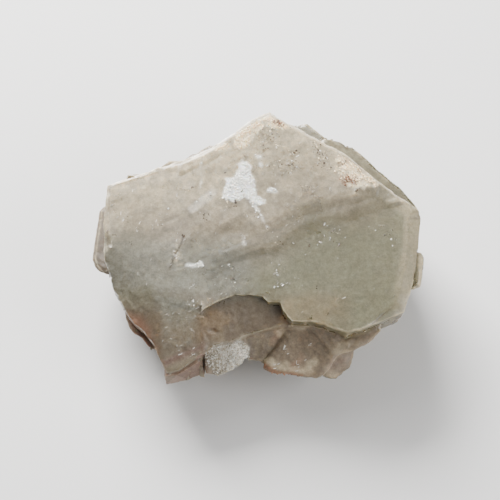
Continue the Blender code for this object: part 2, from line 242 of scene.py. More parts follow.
# %% Read the flat faces
POINTS_APART = 0.30
SIDES_COARSER = 1.55
UNDERSIDE_COARSER = 2.6
SAME_PLACE = 0.002 * MM
SAME_PLANE = math.radians(0.2)
UNDERSIDE_BELOW = -0.55
SIDE_BELOW = 0.25
VIEW_EDGE = -25.0


def flat_faces(node):
    """A copy of the node's mesh with its doubles merged and its triangles joined into flat polygons."""
    shape = bmesh.new()
    shape.from_mesh(node.data)
    bmesh.ops.remove_doubles(shape, verts=shape.verts, dist=SAME_PLACE)
    bmesh.ops.dissolve_degenerate(shape, edges=shape.edges, dist=SAME_PLACE)
    bmesh.ops.dissolve_limit(shape, angle_limit=SAME_PLANE, verts=shape.verts, edges=shape.edges)
    shape.normal_update()
    return shape


def spacing_at(middle_mm, normal):
    """How far apart points stand: closest on what faces up, wider on the sides, widest on the underside."""
    face_normal = FACE_AXES @ normal
    if normal[2] < UNDERSIDE_BELOW:
        return POINTS_APART * UNDERSIDE_COARSER
    if face_normal[2] < SIDE_BELOW and middle_mm[1] > VIEW_EDGE:
        return POINTS_APART * SIDES_COARSER
    return POINTS_APART


flat = flat_faces(chunk_node)
print(len(flat.faces), "flat faces,", len(flat.edges), "edges")

# %% [markdown]
# ## Filling a face
#
# Each polygon is laid flat in two directions of its own, u and v. The honeycomb is a plain grid with every
# other row moved by half a step. Only points that are inside the outline, and not too near it, are kept.

# %% Fill every face and gather one skin


def honeycomb(low, high, step):
    """A grid of points over a box: rows 0.866 of a step apart, every other one moved by half a step."""
    columns = np.arange(low[0], high[0] + step, step)
    rows = np.arange(low[1], high[1] + step, step * math.sqrt(0.75))
    u, v = np.meshgrid(columns, rows)
    u = u + 0.5 * step * (np.arange(len(rows)) % 2)[:, None]
    return np.stack([u.ravel(), v.ravel()], axis=1)


def edge_points(edge, step):
    """Points that divide an edge evenly, its two ends left out, in millimetres."""
    a, b = (np.array(v.co) / MM for v in edge.verts)
    count = max(1, round(float(np.linalg.norm(b - a)) / step))
    share = np.arange(1, count) / count
    return a + share[:, None] * (b - a)


def outlined(face, along):
    """The numbers of the points round a face, its corners and the points on its edges, in order."""
    ring = []
    for loop in face.loops:
        inner = along[loop.edge.index]
        ring.append([loop.vert.index])
        ring.append(inner if loop.edge.verts[0] == loop.vert else inner[::-1])
    return np.concatenate(ring).astype(int)


def filled(flat_ring, grid):
    """Triangles over an outline and the points in it, as numbers of its own points, then of the grid's."""
    coordinates = [Vector(p) for p in np.concatenate([flat_ring, grid])]
    outline = [(i, (i + 1) % len(flat_ring)) for i in range(len(flat_ring))]
    _, _, faces, origins, _, _ = delaunay_2d_cdt(coordinates, outline, [], 1, 1e-7)
    source = np.array([min(o) if o else -1 for o in origins])
    triangles = source[np.array(faces, dtype=int).reshape(-1, 3)]
    return triangles[(triangles >= 0).all(axis=1)]


def refilled(shape):
    """The skin's points in millimetres, its triangles, the face each is of, and the points on each edge."""
    for part in (shape.verts, shape.edges, shape.faces):
        part.index_update()
    middles = {face.index: np.array(face.calc_center_median()) / MM for face in shape.faces}
    steps = {face.index: spacing_at(middles[face.index], np.array(face.normal)) for face in shape.faces}
    points = [np.array([v.co for v in shape.verts]) / MM]
    total = len(shape.verts)
    along = {}
    for edge in shape.edges:
        made = edge_points(edge, min(steps[f.index] for f in edge.link_faces))
        along[edge.index] = np.arange(total, total + len(made))
        points.append(made)
        total += len(made)
    rims = np.concatenate(points)
    points = [rims]
    triangles, faces_of = [], []
    for face in shape.faces:
        normal = np.array(face.normal)
        u = np.cross(normal, [0.0, 0.0, 1.0] if abs(normal[2]) < 0.9 else [0.0, 1.0, 0.0])
        u /= np.linalg.norm(u)
        v = np.cross(normal, u)
        ring = outlined(face, along)
        from_start = rims[ring] - rims[ring[0]]
        flat_ring = np.stack([from_start @ u, from_start @ v], axis=1)
        step = steps[face.index]
        grid = honeycomb(flat_ring.min(axis=0), flat_ring.max(axis=0), step)
        grid = grid[inside(grid, flat_ring) > 0.55 * step]
        numbers = np.concatenate([ring, np.arange(total, total + len(grid))])
        made = filled(flat_ring, grid)
        triangles.append(numbers[made])
        faces_of.append(np.full(len(made), face.index))
        points.append(rims[ring[0]] + grid[:, :1] * u + grid[:, 1:] * v)
        total += len(grid)
    return np.concatenate(points), np.concatenate(triangles), np.concatenate(faces_of), along


flat_points, triangles, faces_of, along_edges = refilled(flat)
print(len(flat_points), "points,", len(triangles), "triangles")

# %% [markdown]
# ## Where a thing shows
#
# The features low on the front lie on many small faces. They are easier to place by where they show from
# the viewer's side, so each point also gets the two coordinates that it has in that view, in millimetres at
# the face's middle. Most masks from them are used only on points that are turned to the viewer.

# %% The viewer's side
VIEW_ANGLE = math.radians(58.0)
VIEW_FROM = np.array([0.0, -math.cos(VIEW_ANGLE), math.sin(VIEW_ANGLE)])
VIEW_UP = np.array([0.0, math.sin(VIEW_ANGLE), math.cos(VIEW_ANGLE)])
VIEW_DISTANCE = 400.0


def as_seen(world_mm):
    """Where points show: across and up from the face's middle, larger by how much nearer than it they are."""
    away = world_mm - FACE_MIDDLE
    nearer = VIEW_DISTANCE / (VIEW_DISTANCE - away @ VIEW_FROM)
    return np.stack([away[:, 0] * nearer, away @ VIEW_UP * nearer], axis=1)


first_seen = as_seen(flat_points)
print("in view, mm:", np.round(first_seen.min(axis=0), 1), "to", np.round(first_seen.max(axis=0), 1))

# %% [markdown]
# ## Growth steps drawn out
#
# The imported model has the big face's growth layers as two low steps with upright sides, so that they hold
# as a solid. On the real face they are gentle: light shows them as bands, not as lines. So away from its
# rim the face is given new heights, each step drawn out into a slope.

# %% Soften the steps on the big face
PLATE_OUTLINE = [
    (-32.0, 14.2), (-32.5, 6.0), (-32.2, 0.3), (-22.4, -8.5), (-12.5, -10.9), (-11.9, -12.2), (-8.9, -10.6),
    (-6.0, -9.5), (-3.0, -9.4), (-0.6, -9.8), (0.6, -10.9), (2.8, -11.0), (3.7, -12.9), (5.4, -14.9),
    (8.9, -15.1), (14.0, -16.6), (16.4, -17.4), (22.1, -15.3), (27.7, -12.8), (30.6, -0.4), (31.4, 6.9),
    (31.0, 8.8), (28.1, 11.0), (16.3, 21.0), (6.5, 26.8), (1.0, 30.2), (-3.1, 28.3), (-9.0, 23.7),
    (-13.2, 21.0), (-16.7, 19.5), (-23.3, 17.1),
]
LOWER_TERRACE = [
    (-31.2, 0.6), (-24.0, -3.6), (-18.9, -3.9), (-15.0, -2.5), (-12.0, -3.7), (-6.0, -1.3), (-1.0, 0.0),
    (2.6, 0.4), (8.0, 4.2), (14.0, 6.4), (19.5, 8.0), (24.6, 10.4), (27.0, 11.1), (16.0, 20.4), (6.2, 26.2),
    (1.0, 29.4), (-8.8, 22.9), (-16.4, 18.8), (-31.4, 13.7),
]
UPPER_TERRACE = [
    (-16.0, 1.4), (-12.0, 2.9), (-7.0, 4.6), (-5.0, 5.7), (-1.6, 3.4), (-0.4, 4.4), (1.0, 4.9), (7.1, 8.2),
    (11.1, 9.5), (16.1, 10.5), (21.6, 12.3), (22.4, 14.4), (15.6, 20.2), (6.0, 25.6), (1.0, 28.7),
    (-8.5, 22.2), (-16.0, 18.0), (-17.4, 10.0),
]
TERRACE_STEP = 0.35
TERRACE_SLOPE = 1.5
SIDE_SLOPE = 3.5


def point_normals(points, corners):
    """Each point's normal: the sum of the cross products of the triangles round it, made one long."""
    a, b, c = (points[corners[:, k]] for k in range(3))
    crosses = np.cross(b - a, c - a)
    total = np.zeros_like(points)
    for k in range(3):
        np.add.at(total, corners[:, k], crosses)
    return total / np.maximum(np.linalg.norm(total, axis=1), 1e-12)[:, None]


def off_the_rim(face_mm):
    """1 on the big face's top away from its rim, and 0 at its rim and on everything else."""
    return smooth(0.35, 1.1, inside(face_mm, PLATE_OUTLINE)) * (face_mm[:, 2] > -0.05)


def softened(face_mm):
    """The big face with new heights: a step for each terrace, drawn out over a slope at its outline."""
    wide = np.where(face_mm[:, 0] < -9.0, SIDE_SLOPE, TERRACE_SLOPE)
    height = np.zeros(len(face_mm))
    rim_distance = inside(face_mm, PLATE_OUTLINE)
    for edge in (LOWER_TERRACE, UPPER_TERRACE):
        depth = inside(face_mm, edge)
        by_the_rim = smooth(4.5, 2.5, rim_distance) * smooth(-1.6, -0.8, depth)
        by_the_rim *= smooth(9.0, 12.0, face_mm[:, 1] + 0.3 * face_mm[:, 0])
        height += TERRACE_STEP * np.maximum(smooth(-wide, wide, depth), by_the_rim)
    return face_mm + (off_the_rim(face_mm) * (height - face_mm[:, 2]))[:, None] * [0.0, 0.0, 1.0]


off_rim = off_the_rim(to_face(flat_points))
flat_points = to_world(softened(to_face(flat_points)))
print("points with new heights:", int((off_rim > 0.0).sum()))

# %% [markdown]
# ## Folds and the mass under the plate
#
# The plate bends down at the left, with no sharp line, and the mass under its front is one lump that light
# goes into. Facets would show there, so the points are drawn to the mean of their neighbours, round after
# round.

# %% Relax the folds and the mass
FOLDS = (
    [(-31.6, -0.3), (-22.4, -8.5), (-13.4, -10.7)],
    [(-22.4, -8.5), (-21.9, -12.4), (-20.6, -21.5)],
    [(-12.6, -12.6), (-12.6, -18.6)],
)
FRONT_MASS = [
    (-12.0, -20.0), (-3.6, -17.2), (5.0, -14.2), (9.2, -13.6), (14.5, -16.6), (16.5, -18.0), (22.6, -15.4),
    (24.0, -18.0), (17.0, -22.4), (16.0, -27.0), (-3.0, -27.0), (-12.0, -27.0),
]
FOLD_ROUNDS = 120
FRONT_ROUNDS = 14
FRONT_STRENGTH = 0.8


def relaxed(points, corners, weight, rounds):
    """Points drawn to the mean of their neighbours, each by its weight, as many rounds as asked."""
    pairs = np.unique(np.sort(corners[:, [0, 1, 1, 2, 2, 0]].reshape(-1, 2), axis=1), axis=0)
    one, other = pairs[:, 0], pairs[:, 1]
    neighbours = np.bincount(pairs.ravel(), minlength=len(points)).astype(float)
    for _ in range(rounds):
        total = np.empty_like(points)
        for k in range(3):
            sums = np.bincount(one, points[other, k], len(points))
            total[:, k] = (sums + np.bincount(other, points[one, k], len(points))) / neighbours
        points = points + 0.5 * weight[:, None] * (total - points)
    return points


def fold_weight(face_mm, corners):
    """1 by the folds where the big face bends down into its broken front and left side, and 0 elsewhere."""
    up = point_normals(face_mm, corners)[:, 2]
    near = np.min([beside(face_mm, fold) for fold in FOLDS], axis=0)
    return smooth(3.6, 1.2, near) * smooth(0.75, 0.85, up) * smooth(-6.0, -5.0, face_mm[:, 2])


by_fold = fold_weight(to_face(flat_points), triangles)
flat_points = relaxed(flat_points, triangles, by_fold, FOLD_ROUNDS)
under_plate = to_face(flat_points)[:, 2] < -3.0
under_plate &= point_normals(flat_points, triangles) @ VIEW_FROM > -0.2
front_mass = smooth(-0.6, 1.0, inside(as_seen(flat_points), FRONT_MASS)) * under_plate
flat_points = relaxed(flat_points, triangles, FRONT_STRENGTH * front_mass, FRONT_ROUNDS)
print("by the folds:", int((by_fold > 0.0).sum()), "in the front mass:", int((front_mass > 0.0).sum()))

# %% [markdown]
# ## How near a point is to a sharp edge
#
# Crystal edges are where the mineral bruises and where light collects, and the grooves between crystals are
# where crust stays and where the tone is made darker. So each point gets two distances: to the nearest edge
# that sticks out and to the nearest one that is folded in. Its normal is the mean of the flat normals round
# it, by area.

# %% Distances to edges, and smooth normals
FOLDED_IN = math.radians(9.0)
STICKS_OUT = math.radians(30.0)


def tree_of(places):
    """A tree that finds the nearest of some places."""
    tree = KDTree(len(places))
    for number, place in enumerate(places):
        tree.insert(place, number)
    tree.balance()
    return tree


def distance_to(numbers):
    """How far each point of the skin is from the nearest of the numbered points."""
    tree = tree_of(flat_points[numbers])
    return np.array([tree.find(point)[2] for point in flat_points])


def edge_distances(shape):
    """Distances to the edges that stick out by more than one angle or are folded in by more than another."""
    outer, inner = [], []
    for edge in shape.edges:
        angle = edge.calc_face_angle_signed(0.0)
        on_top = min(max(off_rim[v.index], front_mass[v.index]) for v in edge.verts) > 0.5
        if not on_top and (angle > STICKS_OUT or angle < -FOLDED_IN):
            chosen = outer if angle > 0.0 else inner
            chosen.extend([edge.verts[0].index, edge.verts[1].index, *along_edges[edge.index]])
    return distance_to(outer), distance_to(inner)


to_ridge, to_groove = edge_distances(flat)
flat.free()
normals = point_normals(flat_points, triangles)
on_face = to_face(flat_points)
face_normals = normals @ FACE_AXES.T
shown = as_seen(flat_points)
to_viewer = normals @ VIEW_FROM
turned_here = smooth(0.05, 0.3, to_viewer)
print("within 0.5 mm of an edge:", int((to_ridge < 0.5).sum()), "of a groove:", int((to_groove < 0.5).sum()))

# %% [markdown]
# ## Kinds of surface
#
# Apophyllite has a pearly flat face across the top, side walls with fine upright lines, and uneven breaks.
# Which kind a point has follows from the way it faces in the plate's frame and from its place, so each kind
# is a weight from 0 to 1.

# %% Weights for each kind of surface
LEDGE = [
    (-12.8, -11.6), (-9.0, -10.0), (-3.0, -8.8), (0.6, -10.3), (3.2, -10.8), (5.8, -14.8), (-9.9, -19.8),
    (-13.0, -18.0),
]
LOBE = [(-11.8, -19.0), (-5.0, -18.2), (-3.4, -19.6), (-3.8, -22.5), (-9.0, -26.2), (-11.6, -22.5)]
FRONT_BREAK = [(-20.9, -9.8), (-11.6, -11.6), (-12.0, -15.0), (-11.8, -19.6), (-20.2, -23.3), (-22.8, -17.0)]
LEFT_BREAK = [(-33.6, -0.5), (-21.0, -10.0), (-20.2, -27.0), (-24.0, -20.0), (-31.0, -8.0)]

on_plate = smooth(0.93, 0.985, face_normals[:, 2]) * smooth(-1.6, -1.2, on_face[:, 2])
on_plate = on_plate * smooth(-1.0, 0.2, inside(on_face, PLATE_OUTLINE))
on_wall = smooth(0.5, 0.3, np.abs(face_normals[:, 2]))
underneath = smooth(-0.35, -0.7, normals[:, 2])
off_plate = turned_here * (1.0 - on_plate)
in_lobe = smooth(-0.6, 0.5, inside(shown, LOBE)) * off_plate
in_front_break = smooth(-0.8, 0.6, inside(shown, FRONT_BREAK)) * off_plate
in_left_break = smooth(-0.8, 0.6, inside(shown, LEFT_BREAK)) * off_plate
broken = np.maximum(in_front_break, in_left_break)
on_ledge = smooth(-1.6, 2.0, inside(on_face, LEDGE)) * smooth(0.85, 0.95, face_normals[:, 2])
on_ledge = on_ledge * (1.0 - on_plate)
for label, weight in (("plate", on_plate), ("wall", on_wall), ("lobe", in_lobe), ("broken", broken)):
    print(label, "takes", round(100 * float(weight.mean()), 1), "% of the points")

# %% [markdown]
# ## Relief
#
# Every point moves along its normal. Growth stopped and started again on the big face, which left steps far
# lower than a millimetre. The walls have upright lines, the breaks are shelly and scaly, the lobe under the
# front is a mass of sugar-sized crystals, and edges that stick out are chipped. The chunk is kept inside
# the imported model's box, and nothing goes below the plane it rests on.

# %% Move the points along their normals
UPPER_STEP = [
    (-11.0, -1.0), (-4.0, 1.8), (0.0, 3.5), (3.2, 5.8), (7.0, 8.0), (10.0, 9.8), (16.0, 11.0), (20.0, 11.5),
]
LOWER_STEP = [(-11.0, -4.2), (-5.0, -1.2), (-1.0, 0.3), (0.5, 0.3), (4.0, 1.4)]
JAGGED_BREAK = [(-16.3, 2.8), (-16.9, 0.8), (-17.6, -0.6), (-18.4, -2.2), (-19.0, -4.0)]
LONG_CRACK = [(-19.0, -4.0), (-15.0, -3.4), (-11.0, -1.0)]
CHIP = [(-17.6, 1.6), (-17.3, -0.4), (-15.6, -3.0), (-19.3, -4.0)]
MOST_OUTWARDS = 0.10
AT_REST_BELOW = 0.02
in_chip = smooth(-0.3, 0.3, inside(on_face, CHIP)) * on_plate


def grooved(path, wide, deep):
    """A crack along a path on the plate: deep in its middle, gone at wide from it, and shaken by noise."""
    shaken = on_face[:, :2] + 0.25 * np.stack([noise(on_face, 1.3, 61), noise(on_face, 1.3, 62)], axis=1)
    return -deep * smooth(wide, 0.0, beside(shaken, path)) * on_plate


def upright_lines(seed):
    """Lines up a wall: noise that depends on the distance along the wall, and hardly at all on the height."""
    across = np.stack([-face_normals[:, 1], face_normals[:, 0]], axis=1)
    across /= np.maximum(np.linalg.norm(across, axis=1), 1e-6)[:, None]
    distance = (on_face[:, :2] * across).sum(axis=1)
    place = np.stack([distance, np.zeros(len(distance)), 0.06 * on_face[:, 2]], axis=1)
    return 0.6 * noise(place, 1.5, seed) + 0.4 * noise(place, 0.6, seed + 1)


def relief():
    """How far each point moves along its normal, in millimetres: each kind's own pattern times its weight."""
    flow = on_face * [0.35, 1.0, 1.0]
    plate = 0.05 * layered(flow, 9.0, 11) + 0.03 * layered(on_face, 1.6, 12)
    plate += grooved(UPPER_STEP, 0.4, 0.04) + grooved(LOWER_STEP, 0.4, 0.02)
    plate += grooved(LONG_CRACK, 0.4, 0.04) + 0.22 * in_chip * rubble(flat_points, 0.7, 13, steep=1.2)
    wall = 0.09 * upright_lines(21) + 0.05 * layered(flat_points, 2.2, 22)
    scaly = 0.16 * layered(flat_points, 5.0, 31) + 0.10 * rubble(flat_points, 1.9, 32)
    sugar = 0.20 * rubble(flat_points, 0.7, 41) + 0.20 * layered(flat_points, 2.0, 42)
    cloudy = 0.16 * layered(flat_points, 2.4, 43) + 0.12 * rubble(flat_points, 1.3, 44)
    other = 0.06 * layered(flat_points, 4.0, 51) + 0.05 * rubble(flat_points, 1.6, 52)
    bottom = 0.28 * layered(flat_points, 5.0, 71) + 0.35 * rubble(flat_points, 2.4, 72)
    rest = np.clip(1.0 - on_plate - broken - in_lobe - underneath, 0.0, 1.0)
    moved = on_plate * plate + broken * scaly + in_lobe * sugar + underneath * bottom
    moved += rest * (on_wall * wall + (1.0 - on_wall) * other) + rest * front_mass * cloudy
    chip = smooth(0.1, 0.75, layered(flat_points, 2.1, 81) + 0.25)
    moved -= 0.26 * chip * smooth(0.6, 0.0, to_ridge) * (1.0 - 0.6 * on_plate)
    return np.minimum(moved, MOST_OUTWARDS + 0.20 * in_lobe)


rests = flat_points[:, 2] < AT_REST_BELOW
push = np.where(rests, 0.0, relief())
skin_points = flat_points + push[:, None] * normals
skin_points[:, 2] = np.maximum(skin_points[:, 2], np.minimum(0.0, flat_points[:, 2]))
low_corner, high_corner = (np.array(corner) / MM for corner in cad_box)
skin_points = np.clip(skin_points, low_corner, high_corner)
print("moved by", np.round([push.min(), push.max()], 2), "mm; at rest:", int(rests.sum()), "points")

# %% [markdown]
# ## Tones
#
# The mineral is the same all over, but it doesn't look so. The upper left is veiled by tiny cracks and
# looks pinkish beige, and the lower right is clearer and greenish grey. Edges are pale, partly because they
# are bruised and partly as a painted highlight where they catch the light. The crystals below are brown,
# partly from stain, probably iron in their cracks, and partly as painted shade, for they lie in shade. One
# colour for each point starts as the beige, and each cell below mixes others over it. So the last cells cover
# the first, as coats of paint do.

# %% The palette, and how tones are mixed
GREY_GREEN = np.array([0.200, 0.188, 0.117])
SMOKE = np.array([0.248, 0.236, 0.186])
PINK_BEIGE = np.array([0.286, 0.240, 0.168])
DUN = np.array([0.172, 0.128, 0.085])
MILK = np.array([0.550, 0.465, 0.310])
BROWN = np.array([0.184, 0.114, 0.065])
RUST = np.array([0.310, 0.130, 0.060])
RED_BROWN = np.array([0.215, 0.128, 0.094])
WHITE = np.array([0.985, 0.970, 0.890])
CREAM = np.array([0.985, 0.830, 0.550])
EMBER = RED_BROWN + 0.45 * (RUST - RED_BROWN)


def mix(tone, other, share):
    """A blend from tone to other for every point, by share from 0 to 1."""
    return tone + np.clip(share, 0.0, 1.0)[:, None] * (other - tone)


def shaded(tone, factor):
    """Every point's tone times its own factor."""
    return tone * factor[:, None]


face_x, face_y, face_z = on_face.T
view_x = shown[:, 0]
wander = layered(on_face, 9.0, 101)
fine = layered(on_face, 1.4, 102)
grain = layered(on_face, 0.8, 103, layers=2)
tone = np.tile(PINK_BEIGE, (len(flat_points), 1))
print("colours for", len(tone), "points, the first", PINK_BEIGE.tolist())

# %% Slow changes over the big face
BAND_TILT = math.radians(27.0)
DARKER_PATCH = [(15.0, 10.5), (24.5, 11.0), (26.0, 5.0), (17.0, 3.0), (13.5, 6.0)]

along = face_x * math.cos(BAND_TILT) + face_y * math.sin(BAND_TILT)
across = face_y * math.cos(BAND_TILT) - face_x * math.sin(BAND_TILT)
bands = layered(np.stack([along / 9.0, across, 0.3 * face_z], axis=1), 1.6, 104)
greener = smooth(6.5, -7.0, face_y - 0.55 * face_x + 3.0 * wander)
leftward = smooth(-18.0, -28.0, face_x)
greener = np.maximum(greener, 0.7 * smooth(2.0, -6.0, face_y + 2.0 * wander - 5.0 * leftward))
smoky = smooth(1.0, -7.0, face_x) * smooth(5.0, -2.0, face_y + 2.0 * wander)
left_of_fold = smooth(0.4, -0.4, face_x - np.interp(-face_y, [8.5, 21.5], [-22.4, -20.6]))
smoky *= 1.0 - 0.7 * left_of_fold * smooth(-6.0, -9.0, face_y)
paler = smooth(7.0, 21.0, face_y - 0.25 * face_x + 3.0 * wander)
darker = smooth(-2.5, 3.0, inside(on_face, DARKER_PATCH) + fine) * on_plate
uneven = 0.18 * bands + 0.15 * fine + 0.15 * grain + 0.08 * wander

tone = mix(tone, GREY_GREEN, greener)
tone = mix(tone, SMOKE * 1.04, 0.85 * smoky)
tone = mix(tone, MILK, (0.68 + 0.28 * fine) * paler)
tone = mix(tone, BROWN, 0.15 * darker)
tone = shaded(tone, 1.0 + 1.5 * uneven * (0.4 + 0.6 * on_plate) * (1.0 - 0.65 * greener))
# Painted shade: the left bevel, which faces away and down, is darker in its middle.
tone = shaded(tone, 1.0 - 0.13 * leftward * smooth(10.0, 2.0, face_y) * smooth(-9.0, -3.0, face_y))
tone = mix(tone, BROWN, 0.22 * on_plate * smooth(-7.5, -10.5, face_y) * smooth(18.5, 15.5, face_x))
print("greener by", round(float(greener.mean()), 2), "on average, smokier by", round(float(smoky.mean()), 2))

# %% [markdown]
# ## Growth steps as bands of light
#
# A growth step is too low to cast a shadow that shows. What the eye sees is a thin bright line on its brow
# and a soft dark band under it. Both are worked out from how far above or below the step's line a point is.

# %% The steps, the bevel on the right and the small tab past it
MIDDLE_STEP = [(-11.5, 3.0), (-8.4, 5.2), (-4.2, 7.5), (-2.6, 6.0), (-1.6, 4.6)]
TOP_STEP = [(-7.5, 21.5), (-5.0, 22.6), (-1.5, 24.0), (1.5, 22.6)]


def step_line(place, path, reach):
    """A growth step's shade: darker from the path down to reach below it, with a thin bright line above."""
    line = np.array(path)
    over = place[:, 1] - np.interp(place[:, 0], line[:, 0], line[:, 1]) + 0.12 * noise(on_face, 0.9, 105)
    ends = smooth(line[0, 0] - 1.5, line[0, 0] + 1.0, place[:, 0])
    ends *= smooth(line[-1, 0] + 1.5, line[-1, 0] - 2.0, place[:, 0])
    dark = smooth(0.12, -0.15, over) * smooth(-reach, -0.2, over)
    bright = smooth(0.5, 0.1, np.abs(over - 0.4))
    return ends * on_plate * (0.27 * dark - 0.16 * bright)


steps = 0.75 * step_line(on_face, UPPER_STEP, 12.0) + 0.9 * step_line(on_face, LOWER_STEP, 4.0)
steps += 0.8 * step_line(shown, MIDDLE_STEP, 3.5) + 0.6 * step_line(shown, TOP_STEP, 4.0)
rim_depth = inside(on_face, PLATE_OUTLINE)
right_bevel = smooth(2.9, 1.6, np.abs(rim_depth - 1.0)) * smooth(24.0, 28.0, face_x)
tab = smooth(30.4, 30.8, face_x) * smooth(-1.5, -1.9, face_z) * smooth(0.2, 0.6, to_viewer)

tone = shaded(tone, 1.0 - steps)
# Painted highlight: the bevel on the right and the small tab past it face away from the main light, so they
# are painted paler.
tone = mix(tone, MILK * 0.9, 0.55 * right_bevel * smooth(-2.5, -0.5, face_z))
tone = mix(tone, MILK, 0.9 * tab)
print("the steps darken by", round(float(steps.max()), 2), "and brighten by", round(float(-steps.min()), 2))

# %% [markdown]
# ## The broken front and the crystals below
#
# Below the plate the mineral is stained, probably by iron in its cracks, and it lies in shade, which is
# painted into its colour as well. It is dun and brown, darker towards the bottom and on the side turned to
# the front, with a red painted glow where light comes through it, and cloudy where it broke. The tones are
# laid by depth below the big face, and by where each place shows.

# %% Brown stain, painted shade, rust and cloud under the plate
RED_GLOW = [(-27.4, -12.2), (-23.8, -13.6), (-21.4, -20.0), (-22.4, -21.4), (-26.0, -18.8), (-28.4, -15.6)]
FRONT_WALL = [(-21.2, -22.0), (-11.6, -18.0), (-10.6, -27.5), (-21.5, -28.0)]

depth = smooth(-0.6, -4.0, face_z) * (1.0 - on_plate)
front = smooth(-7.0, -12.0, face_y) * smooth(-0.3, 0.2, to_viewer)
low = depth * np.maximum(front, 0.7 * smooth(-9.0, -18.0, face_z)) * (1.0 - 0.6 * broken)
down = np.stack([face_x + 0.12 * face_y, face_y / 6.0, face_z / 6.0], axis=1)
cloudy = layered(flat_points, 3.2, 117) + 0.4 * fine
rightward = smooth(-1.0, 8.0, view_x)
by_ledge = smooth(-15.5, -12.5, face_x) * smooth(-13.0, -16.0, face_y)
far_left = smooth(-31.0, -31.8, face_x) * smooth(-1.5, -3.0, face_z)
glow = smooth(-1.0, 1.5, inside(shown, RED_GLOW) + 0.6 * fine) * (1.0 - on_plate)
wall_below = smooth(-0.5, 1.0, inside(shown, FRONT_WALL)) * depth

# Brown on the low crystals turned to the front: partly stain, partly painted shade.
tone = mix(tone, BROWN, 0.52 * low)
tone = mix(tone, DUN, 0.5 * broken * smooth(-11.0, -19.0, face_y) * (1.0 + fine))
tone = mix(tone, MILK * 0.8, 0.25 * in_front_break * smooth(0.0, 0.7, layered(down, 0.9, 116)))
tone = mix(tone, DUN * 0.9, 0.75 * in_left_break * smooth(-8.0, -14.0, face_y))
tone = mix(tone, DUN, 0.75 * front_mass * smooth(0.5, -0.3, cloudy - 0.4 * rightward))
# Painted shade: the left side of the mass under the plate is painted dark dun.
tone = mix(tone, DUN * 0.62, 0.8 * front_mass * smooth(3.0, -1.0, view_x) * smooth(0.6, -0.5, cloudy))
tone = mix(tone, DUN * 1.3, 0.6 * front_mass * rightward * smooth(-0.3, 0.5, cloudy))
# Painted shade: the broken front beside the ledge is painted dun.
tone = mix(tone, DUN * 1.1, 0.6 * in_front_break * by_ledge)
# Painted shade: the small far-left crystal, lit on top by the light from behind, is painted dark dun.
tone = mix(tone, DUN * 0.62, 0.9 * far_left)
tone = mix(tone, RUST, 0.55 * low * smooth(0.2, 0.7, layered(flat_points, 7.0, 111) + 0.2 * fine))
# Painted glow: red where light comes through the mineral at the lower left, under the plate.
tone = mix(tone, EMBER, 0.75 * glow)
# Painted shade: the ledge under the plate's broken edge is painted dark dun.
tone = mix(tone, DUN * 1.1, 0.8 * on_ledge)
tone = mix(tone, MILK, 0.45 * low * smooth(0.1, 0.7, layered(flat_points, 5.0, 112) + 0.3 * fine))
tone = shaded(tone, 1.0 + 0.12 * low * layered(flat_points, 0.9, 113))
# The front wall below is reddish brown, partly its own colour and partly painted shade.
tone = mix(tone, RED_BROWN * 0.7, 0.85 * wall_below)
print("low crystals:", int((low > 0.5).sum()), "points, red glow:", int((glow > 0.5).sum()))

# %% [markdown]
# ## A shade for each crystal, and pale edges
#
# Every crystal has its own share of cracks, so each flat face of the sides gets a shade drawn at random.
# Edges that stick out are thin and bruised: bruising makes them milky, and they also get a painted
# highlight where light catches them. The big face's rim gets a painted bright line. The tone is made darker
# brown towards the grooves.

# %% Crystals, grooves and edges


def by_crystal(seed):
    """A number from 0 to 1 for each flat face, given to its points; a point on an edge gets one face's."""
    chance = np.random.default_rng(seed).uniform(0.0, 1.0, faces_of.max() + 1)
    number = np.zeros(len(flat_points))
    for k in range(3):
        number[triangles[:, k]] = chance[faces_of]
    return number


side = (1.0 - on_plate) * (1.0 - broken) * smooth(-1.0, -2.5, face_z) * (1.0 - on_ledge)
side = side * (1.0 - front_mass) * (1.0 - tab) * (1.0 - far_left)
crystal, other_crystal = by_crystal(114), by_crystal(115)
behind = side * smooth(8.0, 14.0, face_y) * smooth(4.0, 8.0, face_x)
pale_edge = smooth(0.34, 0.05, to_ridge) * smooth(0.1, 0.9, layered(flat_points, 3.0, 121) + 0.35)
pale_edge = pale_edge * (1.0 - 0.85 * np.maximum(glow, wall_below)) * (1.0 - 0.6 * front_mass)
pale_edge *= 1.0 - 0.9 * smooth(2.2, 1.0, beside(on_face, FOLDS[2]))
pale_edge *= 1.0 - 0.85 * smooth(-3.0, -7.0, face_y) * smooth(-18.0, -21.0, face_x)
low_edge = 0.3 * low * (1.0 - wall_below) * smooth(0.25, 0.05, to_ridge)
rim = smooth(0.8, 0.1, np.abs(rim_depth)) * smooth(0.32, 0.05, to_ridge)
upper_rim = rim * smooth(4.0, 12.0, face_y) * (face_z > -0.8)
upper_rim *= smooth(-0.6, 0.4, layered(on_face, 2.0, 122)) * (1.0 - 0.5 * smooth(3.0, 8.0, face_x))
lower_rim = rim * smooth(-9.0, -11.0, face_y) * smooth(-14.0, -12.0, face_x)

tone = shaded(tone, 1.0 + 0.5 * side * (crystal - 0.5))
tone = mix(tone, GREY_GREEN * 0.8, 0.7 * behind)
tone = mix(tone, GREY_GREEN * 0.9, 0.6 * side * smooth(0.55, 0.9, other_crystal))
tone = mix(tone, MILK, 0.35 * side * smooth(0.25, 0.0, other_crystal))
# The tone is made darker brown towards the grooves.
tone = mix(tone, BROWN * 0.7, 0.45 * smooth(0.5, 0.0, to_groove) * (1.0 - 0.7 * on_plate))
# Pale edges: partly bruising, partly a painted highlight of light caught on thin edges.
tone = mix(tone, MILK * 1.1, 0.60 * np.maximum(pale_edge, low_edge))
# Painted highlights: a white line along the upper rim of the big face and a milky one along its lower rim.
tone = mix(tone, WHITE, 0.75 * upper_rim * smooth(-0.6, 0.5, fine + 0.3))
tone = mix(tone, MILK, 0.6 * lower_rim * smooth(0.22, 0.05, to_ridge))
print("pale edges cover", round(100 * float((pale_edge > 0.3).mean()), 1), "% of the points")
